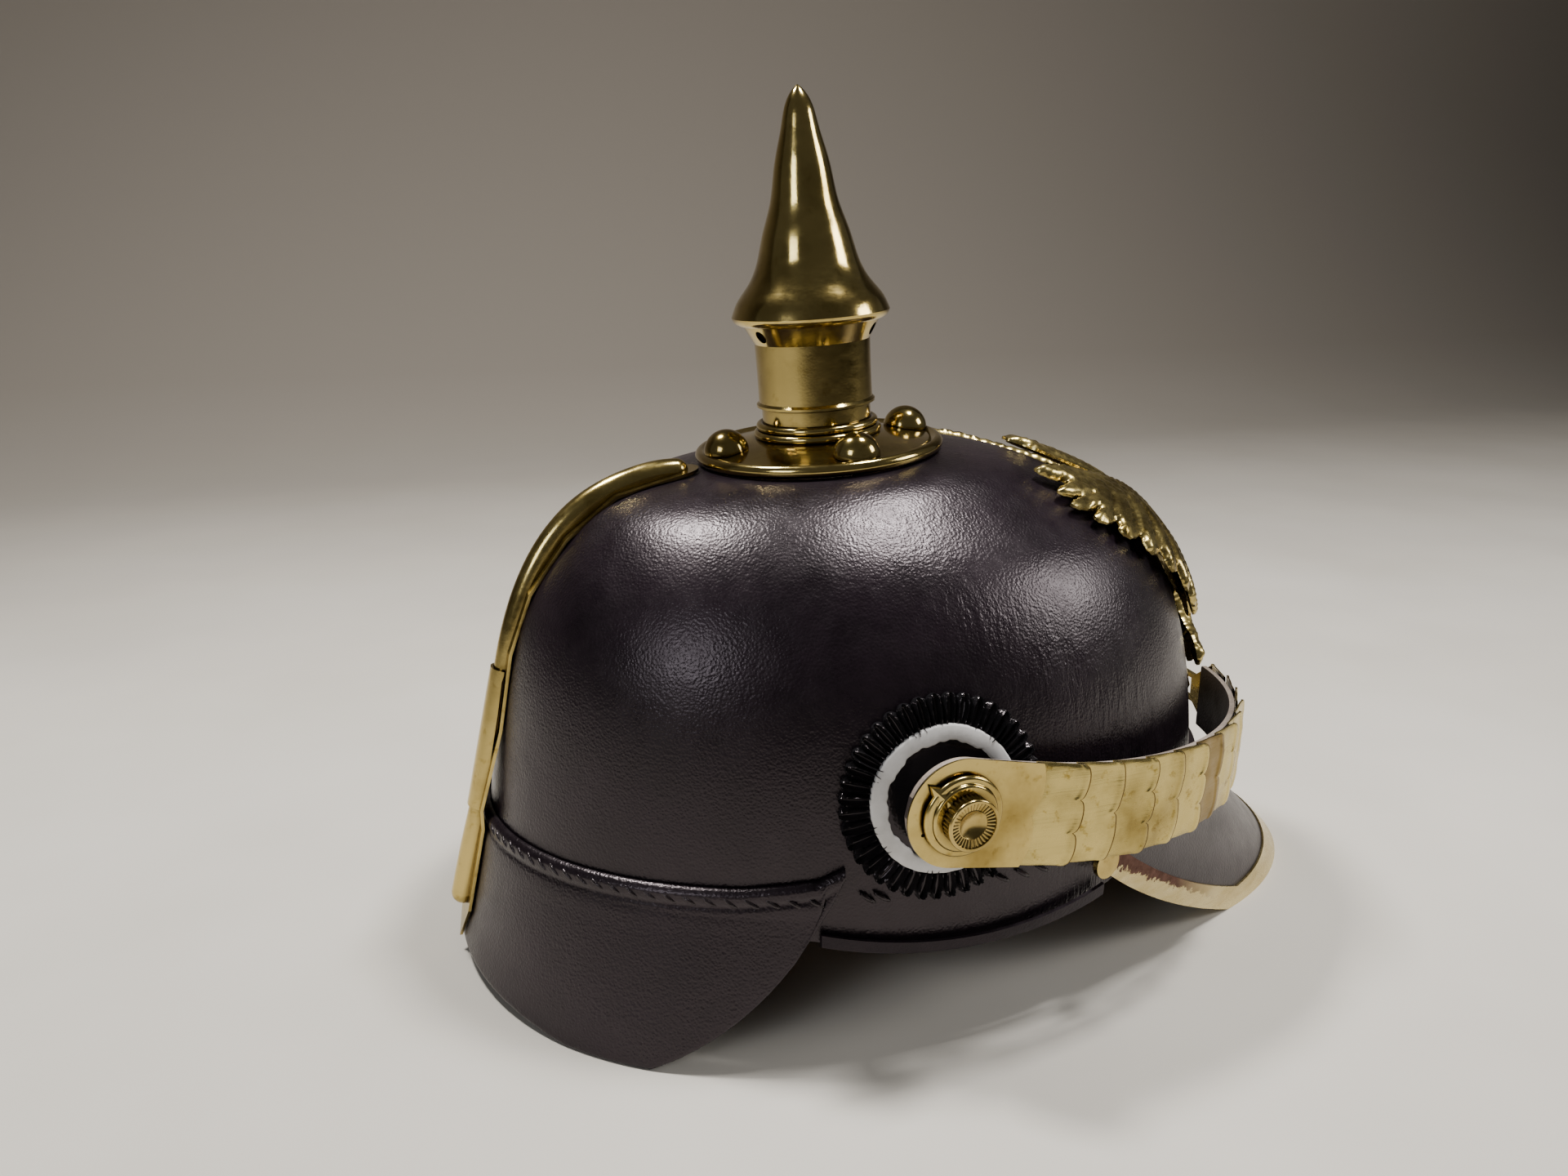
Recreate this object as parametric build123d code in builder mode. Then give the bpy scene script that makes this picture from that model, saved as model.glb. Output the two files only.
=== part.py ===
from build123d import *
import math
import os

os.makedirs("parts", exist_ok=True)

# Helmet as a whole, millimetres
skull_length = 227.5
skull_width = 180.0
crown_height = 146.75
foot_x = -29.8
lean = 4.28
overrun = 200.0

# Leather, brass sheet and clearances
leather = 2.4
sheet = 0.8
thin_sheet = 0.6
touch = 0.05
fit = 0.1
running = 0.3

# Height, rear reach, front reach, half width and lean of the skull's sections, as shares of the crown's
# height, of the skull's length, of its half width and of the full lean
skull_section_shares = (
    (0.1770, 0.4680, 0.5760, 0.985, 0.0),
    (0.3410, 0.4555, 0.5670, 0.991, 0.0),
    (0.4910, 0.4405, 0.5540, 0.980, 0.0),
    (0.6470, 0.4220, 0.5300, 0.939, 0.0),
    (0.7630, 0.3935, 0.4970, 0.872, 0.0),
    (0.8650, 0.3450, 0.4420, 0.767, 0.0),
    (0.9400, 0.2810, 0.3560, 0.622, 0.0),
    (0.9870, 0.1930, 0.2460, 0.500, 0.55),
    (1.0000, 0.1590, 0.1590, 0.402, 1.0),
)

section_heights = [share[0] * crown_height for share in skull_section_shares]
rear_reaches = [share[1] * skull_length for share in skull_section_shares]
front_reaches = [share[2] * skull_length for share in skull_section_shares]
half_widths = [share[3] * skull_width / 2 for share in skull_section_shares]
section_leans = [math.radians(share[4] * lean) for share in skull_section_shares]
mean_reaches = [(rear + front) / 2 for rear, front in zip(rear_reaches, front_reaches)]


def steepness(values, index):
    """Change of values for a step in height at one section of the skull."""
    low = max(index - 1, 0)
    high = min(index + 1, len(values) - 1)
    return (values[high] - values[low]) / (section_heights[high] - section_heights[low])


def skull_form(grow):
    """Solid dome of the skull with its outer surface moved outwards by grow."""
    with BuildPart() as form:
        for index, height in enumerate(section_heights):
            mean_slope = steepness(mean_reaches, index)
            rise = -mean_slope / math.hypot(1, mean_slope)
            grown = []
            for values in (rear_reaches, front_reaches, half_widths):
                slope = steepness(values, index)
                grown.append(values[index] + grow * (math.hypot(1, slope) + slope * rise))
            rear, front, half_width = grown
            tilt = section_leans[index]
            section_plane = Plane(
                origin=((front - rear) / 2, 0, height + grow * rise),
                x_dir=(math.cos(tilt), 0, math.sin(tilt)),
                z_dir=(-math.sin(tilt), 0, math.cos(tilt)),
            )
            with BuildSketch(section_plane):
                Ellipse((rear + front) / 2 / math.cos(tilt), half_width)
        loft()
    return form.part


# Seam line of the neck guard and of the visor round the skull
seam_x = 12.4
seam_height = 42.0
seam_reach = 117.2
seam_half_width = 89.7
lap_height = 60.0
lap_reach = 115.4
lap_half_width = 89.2

# Neck guard at the table
guard_x = -22.0
guard_reach = 92.1
guard_half_width = 88.6

# Visor at the table
visor_x = 85.0
visor_reach = 89.6
visor_half_width = 65.6


def skirt_form(foot_centre, foot_reach, foot_half_width, grow):
    """Solid skirt under the seam line, flaring to an ellipse at the table."""
    with BuildPart() as form:
        for height, centre, reach, half_width in (
            (lap_height, seam_x, lap_reach, lap_half_width),
            (seam_height, seam_x, seam_reach, seam_half_width),
            (0, foot_centre, foot_reach, foot_half_width),
        ):
            with BuildSketch(Plane(origin=(centre, 0, height))):
                Ellipse(reach + grow, half_width + grow)
        loft(ruled=True)
    return form.part


def guard_form(grow):
    """Neck guard's skirt, grown by grow."""
    return skirt_form(guard_x, guard_reach, guard_half_width, grow)


def visor_form(grow):
    """Front visor's skirt, grown by grow."""
    return skirt_form(visor_x, visor_reach, visor_half_width, grow)


def side_prism(points, arc_middle):
    """Prism across the helmet from an outline in the side view, its first edge an arc."""
    with BuildPart() as prism:
        with BuildSketch(Plane.XZ):
            with BuildLine():
                for index, start in enumerate(points):
                    end = points[(index + 1) % len(points)]
                    if index == 0:
                        ThreePointArc(start, arc_middle, end)
                    else:
                        Line(start, end)
            make_face()
        extrude(amount=skull_width, both=True)
    return prism.part


def bar(plane, radius):
    """Round bar that starts on a plane and runs outwards."""
    with BuildPart() as round_bar:
        with BuildSketch(plane):
            Circle(radius)
        extrude(amount=overrun)
    return round_bar.part


def hexagon_bar(plane, radius):
    """Hexagonal bar that starts on a plane and runs outwards."""
    with BuildPart() as prism:
        with BuildSketch(plane):
            RegularPolygon(radius, 6)
        extrude(amount=overrun)
    return prism.part


def dome_arc(radius, low, high):
    """Arc from the edge of a domed head to its top."""
    rise = high - low
    dome_radius = (radius**2 + rise**2) / (2 * rise)
    half_turn = math.asin(radius / dome_radius) / 2
    middle = (dome_radius * math.sin(half_turn), high - dome_radius + dome_radius * math.cos(half_turn))
    ThreePointArc((radius, low), middle, (0, high))


def slab(bodies, outer, inner):
    """What the bodies have between an outer and an inner surface."""
    with BuildPart() as piece:
        for body in bodies:
            add(body)
        add(outer, mode=Mode.INTERSECT)
        add(inner, mode=Mode.SUBTRACT)
    return piece.part


def keep(part, name):
    """Move a piece from the spike's foot to the middle of the helmet's length, name it and save it."""
    placed = part.moved(Location((foot_x, 0, 0)))
    placed.label = name
    export_step(placed, "parts/" + name + ".step")


# Skull's lower rim in the side view
rim_end_z = 42.0
rim_rear_x = -60.0
rim_middle_x = 13.0
rim_middle_z = 28.3
rim_front_x = 86.0


def above_rim(rise):
    """Prism of all that lies above the skull's lower rim, moved up by rise."""
    return side_prism(
        (
            (rim_rear_x, rim_end_z + rise),
            (rim_front_x, rim_end_z + rise),
            (overrun, rim_end_z + rise),
            (overrun, overrun),
            (-overrun, overrun),
            (-overrun, rim_end_z + rise),
        ),
        (rim_middle_x, rim_middle_z + rise),
    )


# Planes of the spike, leaning backwards with the crown
spike_plane = Plane(
    origin=(0, 0, crown_height),
    x_dir=(math.cos(math.radians(lean)), 0, math.sin(math.radians(lean))),
    z_dir=(-math.sin(math.radians(lean)), 0, math.cos(math.radians(lean))),
)
spike_section = Plane(origin=spike_plane.origin, x_dir=spike_plane.x_dir, z_dir=(0, -1, 0))
spike_axis = Axis(spike_plane.origin, spike_plane.z_dir)

# Side posts
post_z = 72.0
post_shank_radius = 5.7
post_hole_radius = post_shank_radius + running
screw_shank_radius = 2.5
inner_start = 40.0


def side_plane(out):
    """Plane facing outwards from the right side at the side post, at a distance from the middle."""
    return Plane(origin=(0, -out, post_z), x_dir=(1, 0, 0), z_dir=(0, -1, 0))


# Front plate: plane of its outline, facing forwards and up
plate_pitch = 35.0
plate_centre_x = 38.0
plate_centre_z = 60.0
plate_height = 126.0
plate_width = 111.0
plate_stand = 4.6
plate_sheet = 1.0
plate_post_radius = 1.6
plate_post_shares = ((-0.30, 0.22), (0.30, 0.22), (0.0, -0.30), (0.0, 0.30))
plate_plane = Plane(
    origin=(plate_centre_x, 0, plate_centre_z),
    x_dir=(0, 1, 0),
    z_dir=(math.cos(math.radians(plate_pitch)), 0, math.sin(math.radians(plate_pitch))),
)


def plate_point(share):
    """Point of the front plate's plane from shares of the plate's width and height."""
    return (share[0] * plate_width, share[1] * plate_height)


# Rear spine's studs: reach and height as shares, and upward pitch
spine_stud_shares = ((0.316, 0.906), (0.412, 0.709), (0.457, 0.354))
spine_stud_pitches = (53.0, 22.0, 7.0)
spine_stud_radius = 1.5
spine_stud_run = 30.0


def spine_stud_plane(index):
    """Plane inside the dome that faces a stud of the spine."""
    reach_share, height_share = spine_stud_shares[index]
    pitch = math.radians(spine_stud_pitches[index])
    return Plane(
        origin=(
            -reach_share * skull_length + spine_stud_run * math.cos(pitch),
            0,
            height_share * crown_height - spine_stud_run * math.sin(pitch),
        ),
        x_dir=(0, 1, 0),
        z_dir=(-math.cos(pitch), 0, math.sin(pitch)),
    )


# Spike base
base_radius = 37.5
base_rim_height = 4.0
base_rim_inner = 35.4
base_foot_radius = 34.4
dish_outer_radius = 33.5
dish_outer_z = 3.4
dish_inner_radius = 18.8
dish_inner_z = 6.2
ring_low_radius = 19.2
ring_low_z = 7.4
ring_gap_radius = 17.6
ring_gap_z = 8.4
ring_high_radius = 18.3
ring_high_z = 9.3
collar_radius = 16.3
collar_low_z = 10.4
collar_step_z = 14.9
collar_neck_radius = 15.9
collar_top_z = 24.0

# Studs on the spike base
stud_count = 4
stud_pitch_radius = 29.2
stud_radius = 6.7
stud_height = 6.5
stud_edge = 0.6
stud_shank_radius = 1.8
stud_hole_radius = stud_shank_radius + running
stud_washer_radius = 4.6
leg_length = 5.5
leg_width = 3.0
leg_sheet = 0.9
dish_slope = math.atan((dish_inner_z - dish_outer_z) / (dish_outer_radius - dish_inner_radius))

# Vent slot under the slide and vent hole under the spike
slot_half_width = 1.5
slot_low_z = 62.0
slot_high_z = 68.0
vent_hole_radius = 12.5

# Nuts and washers inside
nut_radius = 4.4
nut_height = 3.0
washer_radius = 6.0
washer_sheet = 0.8

inner_face = skull_form(-leather - touch)
washer_face = skull_form(-leather - touch - washer_sheet)
nut_seat = skull_form(-leather - 2 * touch - washer_sheet)
nut_face = skull_form(-leather - 2 * touch - washer_sheet - nut_height)
skull_outer = skull_form(0)
skull_inner = skull_form(-leather)
skull_seat = skull_form(touch)
skull_clear = skull_form(fit)

left_post_plane = Plane(origin=(0, inner_start, post_z), x_dir=(1, 0, 0), z_dir=(0, 1, 0))
post_planes = (side_plane(inner_start), left_post_plane)
plate_post_planes = []
for share in plate_post_shares:
    plate_post_planes.append(
        Plane(
            origin=plate_plane.from_local_coords((*plate_point(share), 0)),
            x_dir=plate_plane.x_dir,
            z_dir=plate_plane.z_dir,
        )
    )
spine_stud_planes = [spine_stud_plane(index) for index in range(len(spine_stud_shares))]

with BuildPart() as skull:
    add(skull_outer)
    add(skull_inner, mode=Mode.SUBTRACT)
    add(above_rim(0), mode=Mode.INTERSECT)
    with BuildSketch(spike_plane):
        Circle(vent_hole_radius)
        with PolarLocations(stud_pitch_radius, stud_count):
            Circle(stud_hole_radius)
    extrude(amount=2 * leather, both=True, mode=Mode.SUBTRACT)
    with Locations((-skull_length / 2, 0, (slot_low_z + slot_high_z) / 2)):
        Box(skull_length / 2, 2 * slot_half_width, slot_high_z - slot_low_z, mode=Mode.SUBTRACT)
    for plane in post_planes:
        add(bar(plane, screw_shank_radius + running), mode=Mode.SUBTRACT)
    for plane in plate_post_planes:
        add(bar(plane, plate_post_radius + running), mode=Mode.SUBTRACT)
    for plane in spine_stud_planes:
        add(bar(plane, spine_stud_radius + running), mode=Mode.SUBTRACT)
keep(skull.part, "skull")

# Neck guard's outline in the side view
guard_top_rear_z = 46.5
guard_top_middle = (-52.0, 49.4)
guard_top_front = (-33.0, 52.0)
guard_corner = (-25.0, 56.0)
guard_front_middle = (-42.0, 27.0)
guard_front_foot_x = -76.0
guard_rest_x = -95.0
guard_tip_x = -118.0
guard_tip_z = 4.5
guard_outline = side_prism(
    (
        guard_corner,
        (guard_front_foot_x, 0),
        (guard_rest_x, 0),
        (guard_tip_x, guard_tip_z),
        (-overrun, guard_tip_z),
        (-overrun, guard_top_rear_z),
        (guard_tip_x, guard_top_rear_z),
        guard_top_middle,
        guard_top_front,
    ),
    guard_front_middle,
)

with BuildPart() as neck_guard:
    add(guard_form(leather))
    add(guard_form(0), mode=Mode.SUBTRACT)
    add(guard_outline, mode=Mode.INTERSECT)
    add(skull_clear, mode=Mode.SUBTRACT)
keep(neck_guard.part, "neck_guard")

# Front visor's outline in the side view
visor_corner = (50.0, 42.0)
visor_edge_middle = (84.0, 17.5)
visor_rest_x = 120.0
visor_top_x = 60.0
visor_top_z = 48.0
visor_front_z = 50.0
trim_width_x = 4.5
trim_width_z = 6.5
trim_sheet = 0.7
edge_step_x = 0.5
edge_step_z = 0.7


def visor_outline(step_x, step_z):
    """Prism of the visor's outline, its lower edge moved in by the steps."""
    return side_prism(
        (
            (visor_corner[0] + step_x, visor_corner[1] + step_z),
            (visor_rest_x + step_x, step_z),
            (overrun, step_z),
            (overrun, visor_front_z + step_z),
            (visor_rest_x + step_x, visor_front_z + step_z),
            (visor_top_x + step_x, visor_top_z + step_z),
        ),
        (visor_edge_middle[0] + step_x, visor_edge_middle[1] + step_z),
    )


with BuildPart() as front_visor:
    add(visor_form(leather))
    add(visor_form(0), mode=Mode.SUBTRACT)
    add(visor_outline(edge_step_x, edge_step_z), mode=Mode.INTERSECT)
    add(skull_clear, mode=Mode.SUBTRACT)
keep(front_visor.part, "front_visor")

with BuildPart() as visor_margin:
    add(visor_form(leather + fit))
    add(visor_form(-fit), mode=Mode.SUBTRACT)
    add(visor_outline(edge_step_x - fit, edge_step_z - fit), mode=Mode.INTERSECT)

with BuildPart() as front_visor_trim:
    add(visor_form(leather + fit + trim_sheet))
    add(visor_form(-fit - trim_sheet), mode=Mode.SUBTRACT)
    add(visor_outline(0, 0), mode=Mode.INTERSECT)
    add(visor_outline(trim_width_x, trim_width_z), mode=Mode.SUBTRACT)
    add(visor_margin.part, mode=Mode.SUBTRACT)
    add(skull_clear, mode=Mode.SUBTRACT)
keep(front_visor_trim.part, "front_visor_trim")


def seam_plane(x, z, grow, side):
    """Plane facing outwards from the seam line on one side."""
    reach = seam_reach + grow
    half_width = seam_half_width + grow
    along = x - seam_x
    y = half_width * math.sqrt(1 - (along / reach) ** 2)
    normal = Vector(along / reach**2, side * y / half_width**2, 0).normalized()
    return Plane(origin=(x, side * y, z), x_dir=(-side * normal.Y, side * normal.X, 0), z_dir=normal)


# Dome studs at the rear ends of the visor trim
trim_stud_x = 51.0
trim_stud_z = 44.0
trim_stud_radius = 4.5
trim_stud_height = 3.0
trim_stud_sink = 1.5
with BuildPart() as visor_trim_studs:
    for side in (-1, 1):
        stud_plane = seam_plane(trim_stud_x, trim_stud_z, leather + fit + trim_sheet, side)
        with BuildSketch(Plane(origin=stud_plane.origin, x_dir=stud_plane.x_dir, z_dir=stud_plane.y_dir)):
            with BuildLine():
                Line((0, -trim_stud_sink), (trim_stud_radius, -trim_stud_sink))
                Line((trim_stud_radius, -trim_stud_sink), (trim_stud_radius, 0))
                dome_arc(trim_stud_radius, 0, trim_stud_height)
                Line((0, trim_stud_height), (0, -trim_stud_sink))
            make_face()
        revolve(axis=Axis(stud_plane.origin, stud_plane.z_dir))
    add(visor_form(leather + fit + trim_sheet + touch), mode=Mode.SUBTRACT)
    add(skull_seat, mode=Mode.SUBTRACT)
keep(visor_trim_studs.part, "visor_trim_studs")

# Stitching: slanted stitches of waxed thread
thread_radius = 0.45
stitch_length = 4.4
stitch_slant = 32.0
stitch_pitch = 5.2


def stitches(spans, grow):
    """Row of slanted stitches on the seam line; a span is its side, its first and last x and their heights."""
    with BuildPart() as row:
        for side, first_x, last_x, first_z, last_z in spans:
            first_turn = math.acos((first_x - seam_x) / seam_reach)
            last_turn = math.acos((last_x - seam_x) / seam_reach)
            mean_radius = math.sqrt(seam_reach * seam_half_width)
            count = max(2, round(abs(last_turn - first_turn) * mean_radius / stitch_pitch))
            for index in range(count):
                share = (index + 0.5) / count
                x = seam_x + seam_reach * math.cos(first_turn + (last_turn - first_turn) * share)
                z = first_z + (last_z - first_z) * share
                plane = seam_plane(x, z, grow + thread_radius + 2 * fit, side)
                slant = math.radians(stitch_slant)
                along = plane.x_dir * math.cos(slant) + plane.y_dir * math.sin(slant)
                start = plane.origin - along * (stitch_length / 2)
                with BuildSketch(Plane(origin=start, x_dir=plane.z_dir, z_dir=along)):
                    Circle(thread_radius)
                extrude(amount=stitch_length)
    return row.part


stitch_rear_z = 44.3
stitch_guard_x = -30.0
stitch_guard_z = 46.5
stitch_side_front_x = 46.0
stitch_side_rear_x = -22.0
stitch_cockade_half = 14.5
stitch_side_z = 46.5
stitch_visor_x = 60.0
stitch_visor_z = 45.6
stitch_spine_gap = 0.7
stitch_front_gap = 0.1
stitch_spine_x = seam_x - seam_reach + stitch_spine_gap
stitch_front_x = seam_x + seam_reach - stitch_front_gap
guard_spans = []
side_spans = []
visor_spans = []
for side in (-1, 1):
    guard_spans.append((side, stitch_spine_x, stitch_guard_x, stitch_rear_z, stitch_guard_z))
    side_spans.append((side, stitch_side_rear_x, -stitch_cockade_half, stitch_side_z, stitch_side_z))
    side_spans.append((side, stitch_cockade_half, stitch_side_front_x, stitch_side_z, stitch_side_z))
    visor_spans.append((side, stitch_visor_x, stitch_front_x, stitch_visor_z, stitch_visor_z))
keep(stitches(guard_spans, leather), "neck_guard_stitching")
keep(stitches(side_spans, touch), "side_stitching")
keep(stitches(visor_spans, leather), "front_visor_stitching")

# Leather bindings on the skull's lower edge, one a side between visor and neck guard
binding_sheet = 1.2
binding_height = 3.5
binding_rear_x = -32.0
binding_front_x = 53.0
with BuildPart() as side_bindings:
    add(skull_form(fit + binding_sheet))
    add(skull_clear, mode=Mode.SUBTRACT)
    add(above_rim(0), mode=Mode.INTERSECT)
    add(above_rim(binding_height), mode=Mode.SUBTRACT)
    with Locations(((binding_rear_x + binding_front_x) / 2, 0, 0)):
        Box(binding_front_x - binding_rear_x, 2 * skull_width, overrun, mode=Mode.INTERSECT)
keep(side_bindings.part, "side_bindings")

# Sweatband and liner tongues
band_sheet = 1.2
band_rise = 2.0
band_height = 30.0
tongue_low_z = 70.0
tongue_top_z = 130.0
tongue_count = 10
tongue_gap_share = 0.3
band_face = skull_form(-leather - running)
band_back = skull_form(-leather - running - band_sheet)
tongue_face = skull_form(-leather - running - band_sheet - fit)
tongue_back = skull_form(-leather - running - 2 * band_sheet - fit)
clear_of_nuts = []
for plane in post_planes:
    clear_of_nuts.append(bar(plane, washer_radius + 2 * running))
for plane in plate_post_planes + spine_stud_planes:
    clear_of_nuts.append(bar(plane, nut_radius + 2 * running))

with BuildPart() as sweatband:
    add(band_face)
    add(band_back, mode=Mode.SUBTRACT)
    add(above_rim(band_rise), mode=Mode.INTERSECT)
    add(above_rim(band_rise + band_height), mode=Mode.SUBTRACT)
    for cut in clear_of_nuts:
        add(cut, mode=Mode.SUBTRACT)
keep(sweatband.part, "sweatband")

with BuildPart() as liner_tongues:
    add(tongue_face)
    add(tongue_back, mode=Mode.SUBTRACT)
    with Locations((0, 0, (tongue_low_z + tongue_top_z) / 2)):
        Box(2 * overrun, 2 * overrun, tongue_top_z - tongue_low_z, mode=Mode.INTERSECT)
    for cut in clear_of_nuts:
        add(cut, mode=Mode.SUBTRACT)
    with BuildSketch(Plane(origin=(seam_x, 0, 0))):
        for index in range(tongue_count):
            middle = 2 * math.pi * index / tongue_count
            spread = math.pi * tongue_gap_share / tongue_count
            corners = []
            for turn in (middle - spread, middle + spread):
                corners.append((overrun * math.cos(turn), overrun * math.sin(turn)))
            with BuildLine():
                Polyline((0, 0), corners[0], corners[1], (0, 0))
            make_face()
    extrude(amount=overrun, mode=Mode.SUBTRACT)
keep(liner_tongues.part, "liner_tongues")

# Rear spine: half-round rib on a flat flange, its outer line as shares of skull length and crown height
spine_rib_shares = (
    (0.1990, 1.0060), (0.2273, 1.0037), (0.2690, 0.9881), (0.3323, 0.9390), (0.3864, 0.8484),
    (0.4211, 0.7380), (0.4396, 0.6405), (0.4510, 0.5520), (0.4615, 0.4729), (0.4725, 0.4075),
    (0.4853, 0.3332), (0.4980, 0.2630), (0.5099, 0.1922), (0.5185, 0.1376),
)
spine_top_x = -38.4
flange_half_width = 6.75
flange_sheet = 0.9
flange_round_z = 16.0
flange_top_share = 0.9805
rib_half_width = 3.6
rib_sheet = 0.7
lap_joint_z = 48.0
spine_points = []
for reach_share, height_share in spine_rib_shares:
    spine_points.append(Vector(-reach_share * skull_length, height_share * crown_height))


def rear_line(grow):
    """Points down the rear of the skull and of the neck guard, moved outwards by grow."""
    points = [(spine_top_x, crown_height * flange_top_share + grow)]
    for index in range(len(section_heights) - 2, 1, -1):
        slope = steepness(rear_reaches, index)
        size = math.hypot(1, slope)
        tilt_drop = rear_reaches[index] * math.sin(section_leans[index])
        height = section_heights[index] - tilt_drop
        points.append((-rear_reaches[index] - grow / size, height - grow * slope / size))
    points.append((seam_x - seam_reach - leather - grow, lap_joint_z))
    points.append((seam_x - seam_reach - leather - grow, seam_height))
    points.append((guard_x - guard_reach - leather - grow, 0))
    return points


def rib_form(radius):
    """Rib of half-round section under the spine's outer line, with round ends, down into the helmet."""
    centres = []
    for index, point in enumerate(spine_points):
        before = spine_points[max(index - 1, 0)]
        after = spine_points[min(index + 1, len(spine_points) - 1)]
        along = (after - before).normalized()
        centres.append((point.X - along.Y * rib_half_width, point.Y + along.X * rib_half_width))
    base = rear_line(-rib_half_width)[1:-1]
    with BuildPart() as form:
        with BuildLine(Plane.XZ) as path:
            Spline(*centres)
        with BuildSketch(Plane(origin=path.line @ 0, x_dir=(0, 1, 0), z_dir=path.line % 0)):
            Circle(radius)
        sweep()
        with Locations(path.line @ 0, path.line @ 1):
            Sphere(radius)
        with BuildSketch(Plane.XZ):
            with BuildLine():
                Spline(*centres)
                Polyline(centres[-1], (base[-1][0], centres[-1][1]), *reversed(base), centres[0])
            make_face()
        extrude(amount=radius, both=True)
    return form.part


def lower_guard(grow):
    """Solid neck guard under its lap joint, grown from its outer face."""
    with BuildPart() as form:
        add(guard_form(leather + grow))
        with Locations((0, 0, lap_joint_z - overrun / 2)):
            Box(2 * overrun, 2 * overrun, overrun, mode=Mode.INTERSECT)
    return form.part


with BuildPart() as flange_plan:
    with BuildSketch():
        with Locations((spine_top_x - flange_half_width, 0)):
            Circle(flange_half_width)
        with Locations((spine_top_x - flange_half_width - overrun / 2, 0)):
            Rectangle(overrun, 2 * flange_half_width)
    extrude(amount=overrun)

with BuildPart() as flange_tip:
    with BuildSketch(Plane.YZ.offset(-overrun)):
        with BuildLine():
            Polyline(
                (0, guard_tip_z),
                (flange_half_width, flange_round_z),
                (flange_half_width, overrun),
                (-flange_half_width, overrun),
                (-flange_half_width, flange_round_z),
                (0, guard_tip_z),
            )
        make_face()
    extrude(amount=overrun)

flange_under = rear_line(running)
flange_over = rear_line(running + flange_sheet)
with BuildPart() as rear_spine:
    with BuildSketch(Plane.XZ):
        with BuildLine():
            Polyline(*flange_over, *reversed(flange_under), flange_over[0])
        make_face()
    extrude(amount=flange_half_width, both=True)
    add(flange_plan.part, mode=Mode.INTERSECT)
    add(flange_tip.part, mode=Mode.INTERSECT)
    add(rib_form(rib_half_width))
    add(rib_form(rib_half_width - rib_sheet), mode=Mode.SUBTRACT)
    with BuildSketch(Plane.XZ):
        with BuildLine():
            Polyline(*flange_under, (0, 0), (0, lap_height), flange_under[0])
        make_face()
    extrude(amount=flange_half_width, both=True, mode=Mode.SUBTRACT)
    add(skull_clear, mode=Mode.SUBTRACT)
    add(lower_guard(fit), mode=Mode.SUBTRACT)
keep(rear_spine.part, "rear_spine")

# Vent slide on the straight stretch of the spine
slide_low_z = 60.0
slide_high_z = 90.0
slide_low_x = -107.5
slide_high_x = -100.7
slide_travel = 9.0
slide_wall = 0.8
slide_depth = 12.0
slide_way = Vector(slide_high_x - slide_low_x, 0, slide_high_z - slide_low_z).normalized()
slide_plane = Plane(
    origin=(slide_low_x, 0, slide_low_z),
    x_dir=(0, 1, 0),
    z_dir=slide_way,
)
slide_length = (Vector(slide_high_x, 0, slide_high_z) - Vector(slide_low_x, 0, slide_low_z)).length
clear_line = rear_line(2 * running + flange_sheet)

with BuildPart() as flange_clear:
    with BuildSketch(Plane.XZ):
        with BuildLine():
            Polyline(*clear_line, (0, 0), (0, crown_height), clear_line[0])
        make_face()
    extrude(amount=flange_half_width, both=True)

with BuildPart() as vent_slide:
    with BuildSketch(slide_plane):
        with Locations((0, -(slide_depth - running - slide_wall) / 2)):
            RectangleRounded(
                2 * (rib_half_width + running + slide_wall),
                slide_depth + running + slide_wall,
                rib_half_width + slide_wall,
            )
        with Locations((0, -(slide_depth - running) / 2)):
            RectangleRounded(
                2 * (rib_half_width + running),
                slide_depth + running,
                rib_half_width,
                mode=Mode.SUBTRACT,
            )
    extrude(amount=slide_length)
    add(flange_clear.part, mode=Mode.SUBTRACT)
    add(flange_clear.part.moved(Location(-slide_way * slide_travel)), mode=Mode.SUBTRACT)
keep(vent_slide.part, "vent_slide")


def spun(points):
    """Solid of revolution about the spike's axis from an outline of radii and heights."""
    with BuildPart() as turned:
        with BuildSketch(spike_section):
            with BuildLine():
                Polyline(*points, points[0])
            make_face()
        revolve(axis=spike_axis)
    return turned.part


# Spike base: dished plate with a rolled rim and a collar with two ring mouldings
with BuildPart() as spike_base:
    with BuildSketch(spike_section):
        with BuildLine():
            Line((base_foot_radius, touch), (base_rim_inner, touch))
            ThreePointArc(
                (base_rim_inner, touch),
                (base_radius, base_rim_height / 2),
                (base_rim_inner, base_rim_height),
            )
            Line((base_rim_inner, base_rim_height), (dish_outer_radius, dish_outer_z))
            Line((dish_outer_radius, dish_outer_z), (dish_inner_radius, dish_inner_z))
            ThreePointArc(
                (dish_inner_radius, dish_inner_z),
                (ring_low_radius, ring_low_z),
                (ring_gap_radius, ring_gap_z),
            )
            ThreePointArc(
                (ring_gap_radius, ring_gap_z),
                (ring_high_radius, ring_high_z),
                (collar_radius, collar_low_z),
            )
            Polyline(
                (collar_radius, collar_low_z),
                (collar_radius, collar_step_z),
                (collar_neck_radius, collar_step_z),
                (collar_neck_radius, collar_top_z),
                (collar_neck_radius - sheet, collar_top_z),
                (collar_neck_radius - sheet, dish_inner_z - sheet),
                (dish_outer_radius - sheet, dish_outer_z - sheet),
                (base_foot_radius, touch),
            )
        make_face()
    revolve(axis=spike_axis)
    with BuildSketch(spike_plane):
        with PolarLocations(stud_pitch_radius, stud_count):
            Circle(stud_hole_radius)
    extrude(amount=dish_inner_z, mode=Mode.SUBTRACT)
keep(spike_base.part, "spike_base")

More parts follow.
